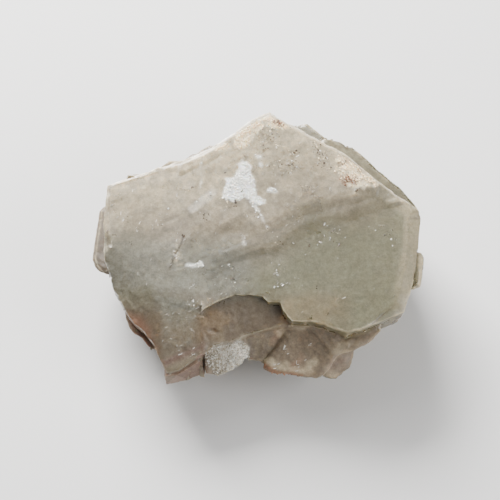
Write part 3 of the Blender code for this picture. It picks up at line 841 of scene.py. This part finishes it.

# %% [markdown]
# ## White powder, cream crust and rust
#
# White powder and cream crust lie on the big face, most of it in two patches and at the top corner. A patch
# is an outline, a streak is a path with its half width and strength, and noise frays both. One short white
# streak left of the middle is a painted highlight, the glint of a small step facet, and the lobe gets
# painted glitter.

# %% Crusts on the big face and at the foot
WHITE_PATCH = [
    (-4.5, 19.0), (-3.2, 18.0), (-2.6, 16.0), (-2.2, 13.5), (-1.5, 11.5), (-0.3, 10.3), (-0.8, 9.5),
    (-3.0, 9.5), (-4.2, 11.5), (-5.0, 10.5), (-6.5, 10.2), (-8.3, 11.0), (-8.0, 13.0), (-7.7, 15.0),
    (-6.0, 15.5),
]
CREAM_PATCH = [
    (15.0, 19.0), (17.0, 20.0), (19.0, 19.5), (20.5, 17.5), (22.5, 16.0), (23.5, 14.5), (21.5, 13.5),
    (20.0, 13.2), (18.0, 13.0), (16.0, 14.5),
]
FOOT_CRUST = [(-0.8, -22.8), (2.6, -24.7), (7.2, -25.3)]
FOOT_SUGAR = [(0.2, -21.8), (3.0, -23.4), (7.5, -24.2), (10.0, -23.0)]
FOOT_LAYERS = [(12.0, -22.5), (20.0, -18.5), (21.5, -20.0), (20.5, -26.5), (12.0, -26.5)]
LAYERS_RUN = np.array([0.86, 0.50])
LAYERS_CROSS = np.array([-0.50, 0.86])
POWDER_AND_GLINT_STREAKS = [
    ([(-12.9, 18.9), (-13.1, 17.7), (-12.8, 15.2), (-13.1, 13.1)], 0.0, 0.6),
    ([(-2.0, 9.2), (-0.7, 6.8), (0.4, 4.6)], 0.15, 0.8),
    ([(0.7, 12.5), (1.3, 12.8), (2.3, 12.3)], 0.3, 0.9),
    ([(-0.8, 18.3), (-0.6, 18.0)], 0.3, 0.7),
    ([(-1.8, 20.2), (-1.1, 19.8)], 0.3, 0.6),
    ([(-14.5, 8.6), (-10.5, 12.0)], 0.9, 0.2),
    # A painted highlight: the glint of a small step facet, drawn as a white streak.
    ([(-15.5, -3.3), (-12.9, -3.1)], 0.35, 1.0),
    ([(-4.4, 2.8), (-4.2, 0.9)], 0.1, 0.5),
]
APEX_STREAKS = [
    ([(-0.2, 29.0), (-2.6, 26.6), (-4.8, 23.2)], 1.6, 1.0),
    ([(-9.3, 21.7), (-7.6, 22.0)], 0.7, 0.9),
    ([(0.2, 28.4), (3.8, 27.2)], 1.4, 1.0),
    ([(-13.8, 19.6), (-9.6, 22.4)], 0.5, 0.5),
]
RUSTY_STREAKS = [
    ([(2.2, 28.0), (3.4, 27.5)], 0.7, 0.9),
    ([(15.6, 14.9), (18.2, 14.9)], 0.9, 0.6),
    ([(15.6, 18.6), (16.6, 18.4)], 0.6, 0.5),
]


def strewn(streaks, frayed):
    """How much lies at each point from streaks on the big face: each one's strength, ragged at its edge."""
    total = np.zeros(len(flat_points))
    for path, wide, strength in streaks:
        off_edge = beside(on_face, path) - wide + 0.55 * frayed
        total = np.maximum(total, strength * smooth(0.35, -0.35, off_edge))
    return total * on_plate


# Painted glitter: white highlights on the lobe, stronger towards the right.
painted_glitter = smooth(-0.4, 0.6, rubble(flat_points, 0.7, 41) + 0.7 * fine + 0.16 * (view_x + 6.5))
white = smooth(-0.45, 0.35, inside(on_face, WHITE_PATCH) + 0.8 * fine + 0.4 * grain) * on_plate
white = np.maximum(white, 0.9 * strewn(POWDER_AND_GLINT_STREAKS, fine))
jagged = smooth(0.35, 0.1, beside(on_face, JAGGED_BREAK) + 0.2 * fine) * on_plate
cream = smooth(-0.9, 0.7, inside(on_face, CREAM_PATCH) + 1.5 * fine + grain) * on_plate
cream = np.maximum(cream, strewn(APEX_STREAKS, fine + 0.9 * grain))
cream = cream * (0.45 + 0.55 * smooth(-0.45, 0.25, layered(on_face, 1.1, 119, layers=2)))
rusty = strewn(RUSTY_STREAKS, fine + 0.9 * grain)
rusty = np.maximum(rusty, 0.65 * front_mass * smooth(0.9, 0.2, beside(shown, FOOT_CRUST) + 0.5 * fine))
sugared = front_mass * smooth(1.4, 0.0, beside(shown, FOOT_SUGAR) + 1.4 * fine)
layers_at = np.stack([shown @ LAYERS_RUN, 8.0 * (shown @ LAYERS_CROSS), face_z], axis=1) / 6.0
strata = front_mass * smooth(-0.5, 1.5, inside(shown, FOOT_LAYERS)) * layered(layers_at, 1.2, 118)

tone = mix(tone, PINK_BEIGE * 0.8, 0.7 * in_lobe)
# The lobe gets its painted glitter highlights.
tone = mix(tone, WHITE * [1.0, 0.97, 0.92], 0.9 * in_lobe * painted_glitter)
# The chip is a rough whitish break; its speckled lightening is partly painted sparkle.
tone = mix(tone, MILK * 1.2, 0.7 * in_chip * smooth(-0.1, 0.5, grain))
# Painted shade: a dark line stands for the shade in the crack along the jagged break.
tone = mix(tone, BROWN * 0.4, 0.7 * jagged)
tone = mix(tone, CREAM * 0.8, 0.35 * sugared)
tone = mix(tone, RED_BROWN, 0.9 * np.maximum(strata, 0.0))
tone = shaded(tone, 1.0 + 0.5 * np.minimum(strata, 0.0))
tone = mix(tone, CREAM, 0.9 * cream)
tone = mix(tone, WHITE, white)
tone = mix(tone, RUST * 0.8, 0.8 * rusty)
tone = np.clip(tone, 0.0, 0.98)
print("white on", int((white > 0.5).sum()), "points, cream on", int((cream > 0.4).sum()))
print("mean tone", np.round(tone.mean(axis=0), 2))

# %% [markdown]
# ## How clear and how glossy
#
# A clear crystal passes light and has smooth faces, and a milky or crusted one is duller and stops light.
# Two numbers for each point say so. The material uses them as its transmission weight and its roughness.

# %% Clearness and gloss
milky = np.clip(white + 0.8 * cream + 0.4 * pale_edge + 0.5 * upper_rim, 0.0, 1.0)
cloudy_part = np.maximum(np.maximum(front_mass, wall_below), np.maximum(0.6 * tab, far_left))
clear_side = side * (1.0 - front) * (0.10 + 0.30 * crystal)
clear = ((0.26 + 0.14 * greener) * (1.0 - 0.8 * cloudy_part) + clear_side) * (1.0 - milky)
gloss = 0.34 - 0.03 * on_plate - 0.14 * side * crystal + 0.25 * milky + 0.08 * wander + 0.3 * cloudy_part
gloss = np.clip(gloss, 0.10, 0.8)
print("clear", round(float(clear.mean()), 2), "rough", round(float(gloss.mean()), 2))

# %% [markdown]
# ## The skin
#
# The points and triangles become one mesh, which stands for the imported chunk. It is shaded smooth with its
# edges kept sharp, because a crystal's faces meet in a line. The tones go with it as attributes, which the
# material reads.

# %% Build the skin
EDGE_ANGLE = math.radians(28.0)


def mesh_piece(name, points_mm, faces, smooth_shaded=True):
    """A mesh object from arrays of points in millimetres and of triangles, added to the scene."""
    mesh = bpy.data.meshes.new(name)
    mesh.vertices.add(len(points_mm))
    mesh.vertices.foreach_set("co", (points_mm * MM).astype(np.float32).ravel())
    mesh.loops.add(faces.size)
    mesh.loops.foreach_set("vertex_index", faces.astype(np.int32).ravel())
    mesh.polygons.add(len(faces))
    mesh.polygons.foreach_set("loop_start", np.arange(0, faces.size, 3, dtype=np.int32))
    mesh.polygons.foreach_set("use_smooth", np.full(len(faces), smooth_shaded))
    mesh.update(calc_edges=True)
    mesh.validate()
    piece = bpy.data.objects.new(name, mesh)
    bpy.context.scene.collection.objects.link(piece)
    return piece


def attribute(piece, name, values):
    """A number or a colour for each point of a piece, by name."""
    if values.ndim == 1:
        made = piece.data.attributes.new(name, "FLOAT", "POINT")
        made.data.foreach_set("value", values.astype(np.float32))
    else:
        made = piece.data.color_attributes.new(name, "FLOAT_COLOR", "POINT")
        four = np.concatenate([values, np.ones((len(values), 1))], axis=1)
        made.data.foreach_set("color", four.astype(np.float32).ravel())


skin = mesh_piece("chunk_skin", skin_points, triangles)
skin.data.set_sharp_from_angle(angle=EDGE_ANGLE)
for label, values in (("tone", tone), ("clear", clear), ("gloss", gloss)):
    attribute(skin, label, values)
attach(skin, "root")
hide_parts("apophyllite_chunk")
print(skin.name, len(skin.data.polygons), "triangles")

# %% [markdown]
# ## Milky apophyllite
#
# Light goes a few millimetres into the mineral and comes back out, so a thin edge glows and a dent isn't
# black. Part of the light goes straight on into the depth, where it loses its blue and green first. That is
# subsurface scattering, some transmission at the mineral's index of refraction, 1.535, and plain absorption
# inside. The finest mottling and the pearly unevenness of the gloss are noise in the chunk's own
# coordinates.

# %% The mineral's material
REFRACTION = 1.535
SCATTER_RADIUS = (1.0, 0.82, 0.62)
SCATTER_SCALE = 1.3 * MM
ABSORPTION_COLOUR = (0.80, 0.72, 0.58, 1.0)
ABSORPTION_DENSITY = 90.0
# Scale to the metre, layers of detail, and how much lighter and darker: the mottle, the clouds and the frost
UNEVENNESS = [(1100.0, 5.0, 0.30), (240.0, 6.0, 0.05), (3000.0, 3.0, 0.26)]
# Colour, cells to the metre, radius, share of the cells, and strength
# White specks are partly white grains and partly painted glints; dark ones partly dark grains and partly
# painted shade in pits.
SPECKS = [
    (WHITE, 700.0, 0.16, 0.30, 0.6),
    (WHITE, 1500.0, 0.22, 0.50, 0.5),
    (BROWN * 0.25, 520.0, 0.09, 0.12, 0.6),
    (BROWN * 0.25, 1300.0, 0.17, 0.16, 0.6),
]


def material(name):
    """A new material, its node tree and its surface shader."""
    made = bpy.data.materials.new(name)
    made.use_nodes = True
    return made, made.node_tree, made.node_tree.nodes["Principled BSDF"]


def texture(tree, kind, scale, detail=3.0):
    """A noise or cell texture in the object's own coordinates, scale to the metre."""
    place = tree.nodes.new("ShaderNodeTexCoord")
    node = tree.nodes.new(kind)
    node.inputs["Scale"].default_value = scale
    if "Detail" in node.inputs:
        node.inputs["Detail"].default_value = detail
    tree.links.new(place.outputs["Object"], node.inputs["Vector"])
    return node


def ranged(tree, value, low, high, to_low, to_high):
    """A value moved from one range to another and held inside it."""
    node = tree.nodes.new("ShaderNodeMapRange")
    for socket, number in (("From Min", low), ("From Max", high), ("To Min", to_low), ("To Max", to_high)):
        node.inputs[socket].default_value = number
    tree.links.new(value, node.inputs["Value"])
    return node.outputs["Result"]


def uneven_by(tree, scale, detail, amount, spread=0.3):
    """A factor from 1 less an amount to 1 more, by noise that reaches spread to both sides of a half."""
    value = texture(tree, "ShaderNodeTexNoise", scale, detail).outputs["Fac"]
    return ranged(tree, value, 0.5 - spread, 0.5 + spread, 1.0 - amount, 1.0 + amount)


def read(tree, name, output="Fac"):
    """What an attribute of the piece holds, as a number or, by its Color output, as a colour."""
    node = tree.nodes.new("ShaderNodeAttribute")
    node.attribute_name = name
    return node.outputs[output]


def tinted(tree, colour, factor):
    """A colour made lighter or darker by a factor round 1."""
    node = tree.nodes.new("ShaderNodeVectorMath")
    node.operation = "SCALE"
    tree.links.new(colour, node.inputs[0])
    tree.links.new(factor, node.inputs["Scale"])
    return node.outputs["Vector"]


def product(tree, one, other):
    """Two numbers multiplied."""
    node = tree.nodes.new("ShaderNodeMath")
    node.operation = "MULTIPLY"
    tree.links.new(one, node.inputs[0])
    tree.links.new(other, node.inputs[1])
    return node.outputs[0]


def specks(tree, scale, radius, share):
    """Small round spots: near the middle of a cell, in that share of the cells whose random colour is low."""
    cell = texture(tree, "ShaderNodeTexVoronoi", scale)
    channels = tree.nodes.new("ShaderNodeSeparateColor")
    tree.links.new(cell.outputs["Color"], channels.inputs["Color"])
    rare = ranged(tree, channels.outputs["Red"], share, share + 0.01, 1.0, 0.0)
    return product(tree, rare, ranged(tree, cell.outputs["Distance"], 0.6 * radius, radius, 1.0, 0.0))


def mixed_colour(tree, colour, other, where, strength):
    """A colour mixed towards another where a number says so, to a strength."""
    node = tree.nodes.new("ShaderNodeMix")
    node.data_type = "RGBA"
    tree.links.new(ranged(tree, where, 0.0, 1.0, 0.0, strength), node.inputs["Factor"])
    tree.links.new(colour, node.inputs["A"])
    node.inputs["B"].default_value = (*other, 1.0)
    return node.outputs["Result"]


def finished_by_attributes(tree, shader, colour, roughness):
    """Colour and roughness as given, clearness from the piece's attribute, and the mineral's refraction."""
    tree.links.new(colour, shader.inputs["Base Color"])
    tree.links.new(roughness, shader.inputs["Roughness"])
    tree.links.new(read(tree, "clear"), shader.inputs["Transmission Weight"])
    shader.inputs["IOR"].default_value = REFRACTION


def mineral():
    """The chunk's own material: attributes for the slow changes, noise for the fine ones."""
    made, tree, shader = material("milky_apophyllite")
    mottle, cloud, frost = (uneven_by(tree, *row) for row in UNEVENNESS)
    colour = tinted(tree, read(tree, "tone", "Color"), product(tree, product(tree, mottle, cloud), frost))
    for tint, scale, radius, share, strength in SPECKS:
        colour = mixed_colour(tree, colour, tint, specks(tree, scale, radius, share), strength)
    patchy = uneven_by(tree, 520.0, 5.0, 0.15, spread=0.35)
    finished_by_attributes(tree, shader, colour, product(tree, read(tree, "gloss"), patchy))
    bump = tree.nodes.new("ShaderNodeBump")
    bump.inputs["Strength"].default_value = 0.35
    bump.inputs["Distance"].default_value = 0.05 * MM
    tree.links.new(texture(tree, "ShaderNodeTexNoise", 1500.0, 4.0).outputs["Fac"], bump.inputs["Height"])
    tree.links.new(bump.outputs["Normal"], shader.inputs["Normal"])
    shader.inputs["Subsurface Weight"].default_value = 0.85
    shader.inputs["Subsurface Radius"].default_value = SCATTER_RADIUS
    shader.inputs["Subsurface Scale"].default_value = SCATTER_SCALE
    absorption = tree.nodes.new("ShaderNodeVolumeAbsorption")
    absorption.inputs["Color"].default_value = ABSORPTION_COLOUR
    absorption.inputs["Density"].default_value = ABSORPTION_DENSITY
    tree.links.new(absorption.outputs["Volume"], tree.nodes["Material Output"].inputs["Volume"])
    return made


def crust():
    """Grains too small for light to go deep into: their own colour, dull or glassy, a little of it clear."""
    made, tree, shader = material("grains")
    finished_by_attributes(tree, shader, read(tree, "tone", "Color"), read(tree, "gloss"))
    return made


skin.data.materials.append(mineral())
grain_material = crust()
print("materials:", skin.data.materials[0].name, grain_material.name)

# %% [markdown]
# ## Grains, specks and glints
#
# On the real chunk the white patches are crusts of tiny grains, the rusty dots are probably iron minerals
# in pits, and the dark dots are partly dark grains, probably iron minerals, and partly painted shade of the
# pits they lie in. Bright glints are scales and small crystals that catch the light; the scales and slivers
# are given a near-white colour, which is a painted glint. Each kind is one mesh of many small six-sided
# blocks with shaken corners, set on points of the skin that are chosen by how much of it lies there.

# %% Scatter small blocks over the skin
BLOCK_CORNERS = np.array([(x, y, z) for z in (-0.5, 0.5) for y in (-0.5, 0.5) for x in (-0.5, 0.5)])
BLOCK_TRIANGLES = np.array(
    [
        (0, 2, 3), (0, 3, 1), (4, 5, 7), (4, 7, 6), (0, 1, 5), (0, 5, 4),
        (2, 6, 7), (2, 7, 3), (0, 4, 6), (0, 6, 2), (1, 3, 7), (1, 7, 5),
    ]
)
CORNERS_SHAKEN = 0.22
BLOCKS_LEAN = 0.35
SLIVERS_LEAN = 0.05
SLIVERS_TURN = 0.45
SLIVER_STRETCH = [2.6, 0.45, 1.0]
THICK_ENOUGH_TO_TUMBLE = 0.7
final_normals = point_normals(skin_points, triangles)


def chosen_points(weight, count, seed):
    """Numbers of the skin's points, drawn at random in proportion to a weight."""
    draw = np.random.default_rng(seed)
    usable = np.maximum(weight, 0.0)
    return draw.choice(len(skin_points), size=count, p=usable / usable.sum())


def clusters(spots, seed):
    """Numbers of the skin's points in round clusters on the upper side, each with x, y, radius and count."""
    draw = np.random.default_rng(seed)
    top = np.flatnonzero((on_plate > 0.3) | (broken > 0.3) | (front_mass > 0.5))
    tree = tree_of(on_face[top] * [1.0, 1.0, 0.0])
    found = []
    for x, y, radius, count in spots:
        away = draw.normal(0.0, 0.55 * radius, (count, 2))
        found.extend(top[tree.find((x + dx, y + dy, 0.0))[1]] for dx, dy in away)
    return np.array(found)


def turned_at_random(count, draw):
    """As many random rotations, from random unit quaternions."""
    four = draw.normal(size=(count, 4))
    w, x, y, z = (four / np.linalg.norm(four, axis=1)[:, None]).T
    rows = [
        [1 - 2 * (y * y + z * z), 2 * (x * y - w * z), 2 * (x * z + w * y)],
        [2 * (x * y + w * z), 1 - 2 * (x * x + z * z), 2 * (y * z - w * x)],
        [2 * (x * z - w * y), 2 * (y * z + w * x), 1 - 2 * (x * x + y * y)],
    ]
    return np.array(rows).transpose(2, 0, 1)


def blocks(name, numbers, sizes, colours, seed, flat_to=1.0, sunk=0.15, clearness=0.0, shine=0.5, long=0.3,
           along=None):
    """One mesh of small blocks: corners shaken, turned, flattened along the normal, and set a little into it.

    With along, an angle on the big face in degrees, the blocks are slivers that lie about that way.
    """
    draw = np.random.default_rng(seed)
    count = len(numbers)
    size = draw.uniform(*sizes, count) * draw.uniform(0.7, 1.2, count)
    corners = BLOCK_CORNERS + draw.uniform(-CORNERS_SHAKEN, CORNERS_SHAKEN, (count, 8, 3))
    corners = corners * draw.uniform(1.0 - long, 1.0 + long, (count, 1, 3)) * [1.0, 1.0, flat_to]
    lean = BLOCKS_LEAN if along is None else SLIVERS_LEAN
    out = final_normals[numbers] + draw.normal(0.0, lean, (count, 3))
    out /= np.linalg.norm(out, axis=1)[:, None]
    side = np.cross(out, draw.normal(size=(count, 3)))
    if along is not None:
        heading = math.radians(along) + draw.normal(0.0, SLIVERS_TURN, count)
        flat = np.stack([np.cos(heading), np.sin(heading), np.zeros(count)], axis=1) @ FACE_AXES
        side = flat - (flat * out).sum(axis=1)[:, None] * out
        corners = corners * SLIVER_STRETCH
    side /= np.linalg.norm(side, axis=1)[:, None]
    axes = np.stack([side, np.cross(out, side), out], axis=1)
    if flat_to > THICK_ENOUGH_TO_TUMBLE:
        axes = turned_at_random(count, draw)
    shift = draw.uniform(-0.12, 0.12, (count, 1, 3))
    middles = skin_points[numbers][:, None] + shift - (sunk * size)[:, None, None] * out[:, None]
    points = (middles + (corners * size[:, None, None]) @ axes).reshape(-1, 3)
    points = np.clip(points, low_corner, high_corner)
    faces = (BLOCK_TRIANGLES + 8 * np.arange(count)[:, None, None]).reshape(-1, 3)
    piece = mesh_piece(name, points, faces, smooth_shaded=False)
    mixed = mix(np.tile(colours[0], (count, 1)), colours[1], draw.uniform(0.0, 1.0, count))
    attribute(piece, "tone", np.repeat(mixed, 8, axis=0))
    attribute(piece, "clear", np.full(8 * count, clearness))
    attribute(piece, "gloss", np.full(8 * count, shine))
    piece.data.materials.append(grain_material)
    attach(piece, "root")
    print(name, count, "blocks,", len(faces), "triangles")


# %% [markdown]
# ## Where the grains lie
#
# Crusts are drawn from how much of each lies at a point. Specks and glints lie in clusters, which are
# listed one by one as the real chunk has them: a middle on the big face, a radius and how many.

# %% Crusts of grains
white_numbers = chosen_points(white**2, 900, 201)
blocks("white_grains", white_numbers, (0.12, 0.28), (WHITE, WHITE * 0.85), 202, clearness=0.05)
cream_numbers = chosen_points(cream**2, 700, 203)
creams = (CREAM * 1.01, CREAM * [0.9, 0.8, 0.7])
blocks("cream_grains", cream_numbers, (0.10, 0.28), creams, 204, clearness=0.05)
RUSTY_SPOTS = [(17.0, 14.8, 1.3, 30), (2.8, 27.6, 0.8, 30)]
rusty_numbers = np.concatenate([chosen_points(rusty**2, 90, 205), clusters(RUSTY_SPOTS, 206)])
blocks("rusty_grains", rusty_numbers, (0.12, 0.28), (RUST * 0.9, BROWN), 207)

# %% Dark and brown specks
DARK_SPOTS = [
    (1.5, 24.0, 1.3, 16), (0.2, 22.0, 1.0, 11), (6.0, 21.0, 0.8, 9), (6.0, 18.6, 0.8, 9),
    (3.4, 18.1, 0.7, 5), (5.0, 18.0, 0.6, 4), (10.6, 21.8, 1.2, 12), (11.8, 20.3, 1.0, 11),
    (12.0, 18.4, 0.9, 9), (8.5, 13.0, 0.5, 3), (-3.8, 20.0, 0.3, 3), (-14.8, 13.2, 0.5, 5),
    (-11.3, 11.4, 0.3, 2), (-12.0, 7.3, 0.5, 5), (-12.0, 6.3, 0.5, 4), (-8.0, 16.3, 0.2, 1),
    (-31.5, 4.0, 0.4, 2), (12.4, -13.5, 0.2, 4), (-6.2, -6.0, 0.5, 6), (17.0, 14.8, 1.3, 18),
    (19.5, 16.9, 0.6, 8), (16.0, 18.5, 0.5, 6), (18.5, 12.7, 0.6, 7), (-5.0, 12.5, 0.6, 6),
    (-3.8, 14.5, 0.3, 3), (-6.1, 9.9, 0.7, 11), (13.5, 4.0, 1.1, 9), (14.0, 1.5, 0.9, 6),
    (-16.3, 2.8, 0.4, 7), (-17.0, 0.6, 0.3, 4), (-18.4, -2.4, 0.3, 4), (9.0, 1.0, 1.0, 5),
    (3.0, 1.5, 0.7, 4), (10.0, -7.5, 0.4, 3), (25.0, 4.0, 1.4, 5), (-1.1, 7.2, 0.4, 4), (0.4, 4.4, 0.3, 3),
    (2.8, 27.6, 0.5, 8),
]
BROWN_SPOTS = [
    (0.5, 25.2, 1.6, 36), (-1.0, 23.4, 1.4, 28), (2.2, 23.0, 1.3, 22), (3.5, 27.4, 1.2, 26),
    (5.9, 20.6, 1.0, 14), (4.5, 18.2, 2.4, 26), (1.6, 18.6, 1.0, 12), (10.6, 22.2, 1.4, 26),
    (12.0, 20.0, 1.5, 28), (12.6, 17.6, 1.0, 14), (16.6, 15.6, 1.8, 26), (18.8, 17.2, 1.6, 20),
    (21.0, 15.0, 1.2, 12), (15.4, 18.4, 1.0, 10), (-3.0, 8.0, 1.6, 14), (8.0, 13.2, 1.4, 8),
    (14.0, 3.6, 1.2, 10), (2.5, 2.0, 2.0, 12), (-8.5, 9.5, 1.2, 10), (-15.5, 12.8, 1.0, 8),
]
# The dark specks are partly dark grains and partly painted shade of tiny pits.
browns = (BROWN * 0.2, BROWN * 0.7)
blocks("dark_specks", clusters(DARK_SPOTS, 208), (0.08, 0.27), browns, 209, flat_to=0.6, sunk=0.1)
tans = (BROWN * 0.4, CREAM)
blocks("brown_specks", clusters(BROWN_SPOTS, 220), (0.09, 0.24), tans, 221, flat_to=0.6, sunk=0.1)

# %% Bright scales, slivers and fine scales
BRIGHT_SPOTS = [
    (-29.6, 11.6, 0.5, 5), (-30.5, 9.5, 0.3, 3), (-28.0, 6.2, 0.8, 11), (-4.3, 2.5, 0.6, 12),
    (-4.2, 1.0, 0.4, 7), (-7.5, -3.3, 0.9, 11), (5.5, 1.5, 0.5, 6), (10.9, 1.5, 0.5, 5),
    (8.7, -0.9, 0.6, 6), (3.3, -3.0, 0.7, 7), (2.0, -5.0, 0.8, 9), (2.5, -7.5, 0.9, 11),
    (4.3, -7.0, 0.7, 7), (1.0, -9.5, 0.5, 6), (23.2, 4.8, 1.2, 12), (26.0, 5.5, 0.3, 3),
    (25.4, 2.0, 0.8, 8), (16.0, 2.5, 0.6, 5), (-17.9, -1.6, 0.8, 40), (-14.5, -8.0, 0.9, 16),
    (-14.5, -11.0, 1.0, 14), (-1.2, 7.2, 0.8, 14), (-6.5, -6.0, 1.1, 9), (6.0, 19.0, 2.0, 22),
    (11.5, 20.0, 1.8, 26), (1.0, 23.0, 1.8, 26), (13.0, 17.6, 0.3, 4), (13.0, 12.6, 0.3, 4),
    (13.0, 4.0, 1.8, 14), (0.5, -0.5, 0.9, 7), (-12.0, 7.0, 0.9, 9), (-22.0, 6.5, 2.5, 12),
]
SLIVER_SPOTS = [
    (-19.2, -13.6, 1.3, 20), (-16.6, -14.6, 1.3, 16), (-14.8, -13.4, 0.9, 12), (-19.6, -17.5, 1.4, 14),
    (-17.5, -20.0, 1.6, 14), (-14.0, -20.4, 1.0, 12), (-13.0, -11.6, 1.6, 16), (-8.5, -9.0, 2.0, 10),
    (3.8, -18.8, 0.6, 16), (4.6, -19.6, 0.4, 8), (2.4, -21.6, 1.2, 14), (6.5, -21.8, 1.4, 12),
    (9.0, -18.4, 0.4, 4),
]
# Real scales and slivers, whose near-white colour is a painted glint.
blocks(
    "painted_glint_scales", clusters(BRIGHT_SPOTS, 210), (0.08, 0.28), (WHITE, PINK_BEIGE), 211, flat_to=0.3,
    clearness=0.2, shine=0.15, long=0.7,
)
blocks(
    "painted_glint_slivers", clusters(SLIVER_SPOTS, 216), (0.07, 0.25), (WHITE * 0.9, PINK_BEIGE), 217, flat_to=0.2,
    shine=0.2, along=25.0,
)
veiled = on_plate * (0.25 + smooth(-3.0, 8.0, face_y - 0.4 * face_x))
blocks(
    "fine_scales", chosen_points(veiled, 500, 218), (0.05, 0.20), (PINK_BEIGE, WHITE), 219, flat_to=0.2,
    shine=0.2, along=60.0,
)

# %% Crystals of the lobe and in the grooves
lobe_numbers = chosen_points(in_lobe * (face_z < -4.0), 1500, 212)
blocks(
    "sugar_crystals", lobe_numbers, (0.08, 0.26), (WHITE, CREAM * 0.5), 213,
    sunk=0.3, clearness=0.35, shine=0.12,
)
groove_weight = smooth(0.6, 0.1, to_groove) * (1.0 - on_plate) * smooth(-2.0, -5.0, face_z)
groove_weight = groove_weight * (1.0 - underneath)
groove_weight *= 0.12 + 0.88 * smooth(-9.0, 2.0, face_y)
blocks(
    "groove_crystals", chosen_points(groove_weight, 1300, 214), (0.2, 0.6), (MILK * 0.8, PINK_BEIGE), 215,
    sunk=0.25, clearness=0.3, shine=0.2,
)

# %% [markdown]
# ## Floor, lights and camera
#
# The chunk stands on a plain pale floor. A broad soft light comes from behind on the left, a weak one from
# above, and one from in front, far enough to the right that the front facets don't mirror it to the camera.
# The camera looks down at 58 degrees, about as the photograph seems to have been taken, from 0.4 m.

# %% Set the stage


def floor_disc(radius, rings=24, around=96):
    """A flat disc at the height the chunk rests on, as rings of points round its middle."""
    share = np.linspace(0.0, 1.0, rings + 1)[1:] ** 2
    turn = np.linspace(0.0, 2.0 * math.pi, around, endpoint=False)
    circle = np.stack([np.cos(turn), np.sin(turn), np.zeros(around)], axis=1)
    points = np.concatenate([np.zeros((1, 3)), (share[:, None, None] * circle * radius).reshape(-1, 3)])
    k = np.arange(around)
    after = (k + 1) % around
    fan = np.stack([np.zeros(around, dtype=int), 1 + k, 1 + after], axis=1)
    strips = [fan]
    for ring in range(rings - 1):
        low, high = 1 + ring * around, 1 + (ring + 1) * around
        strips.append(np.stack([low + k, high + k, high + after], axis=1))
        strips.append(np.stack([low + k, high + after, low + after], axis=1))
    return points, np.concatenate(strips)


def area_light(name, place_mm, aim_height_mm, size_mm, watts):
    """A square soft light that faces a point over the middle of the floor."""
    lamp = bpy.data.lights.new(name, "AREA")
    lamp.size = size_mm * MM
    lamp.energy = watts
    light = bpy.data.objects.new(name, lamp)
    bpy.context.scene.collection.objects.link(light)
    light.location = Vector(place_mm) * MM
    aim = Vector((0.0, 0.0, aim_height_mm)) - Vector(place_mm)
    light.rotation_euler = aim.to_track_quat("-Z", "Y").to_euler()


FLOOR_RADIUS = 1500.0
floor = mesh_piece("floor", *floor_disc(FLOOR_RADIUS))
paint, _, paint_shader = material("pale_floor")
paint_shader.inputs["Base Color"].default_value = (0.64, 0.63, 0.615, 1.0)
paint_shader.inputs["Roughness"].default_value = 0.75
floor.data.materials.append(paint)

area_light("light_behind", (-170.0, 370.0, 290.0), 18.0, 320.0, watts=12.8)
area_light("light_above", (-126.0, 216.0, 423.0), 18.0, 320.0, watts=1.2)
area_light("light_front", (430.0, -210.0, 300.0), 12.0, 360.0, watts=3.6)

world = bpy.data.worlds.new("studio")
world.use_nodes = True
sky = world.node_tree.nodes["Background"]
sky.inputs["Color"].default_value = (0.92, 0.95, 1.0, 1.0)
sky.inputs["Strength"].default_value = 0.32
bpy.context.scene.world = world

lens = bpy.data.cameras.new("camera")
lens.lens = 144.0
lens.sensor_width = 36.0
lens.clip_start = 0.02
camera = bpy.data.objects.new("camera", lens)
bpy.context.scene.collection.objects.link(camera)
camera_aside = np.array([-3.0, 0.0, 0.0])
camera.location = Vector(FACE_MIDDLE + camera_aside + VIEW_DISTANCE * VIEW_FROM) * MM
camera.rotation_euler = Vector(-VIEW_FROM).to_track_quat("-Z", "Y").to_euler()
bpy.context.scene.camera = camera
print("camera at", np.round(np.array(camera.location) / MM), "mm")
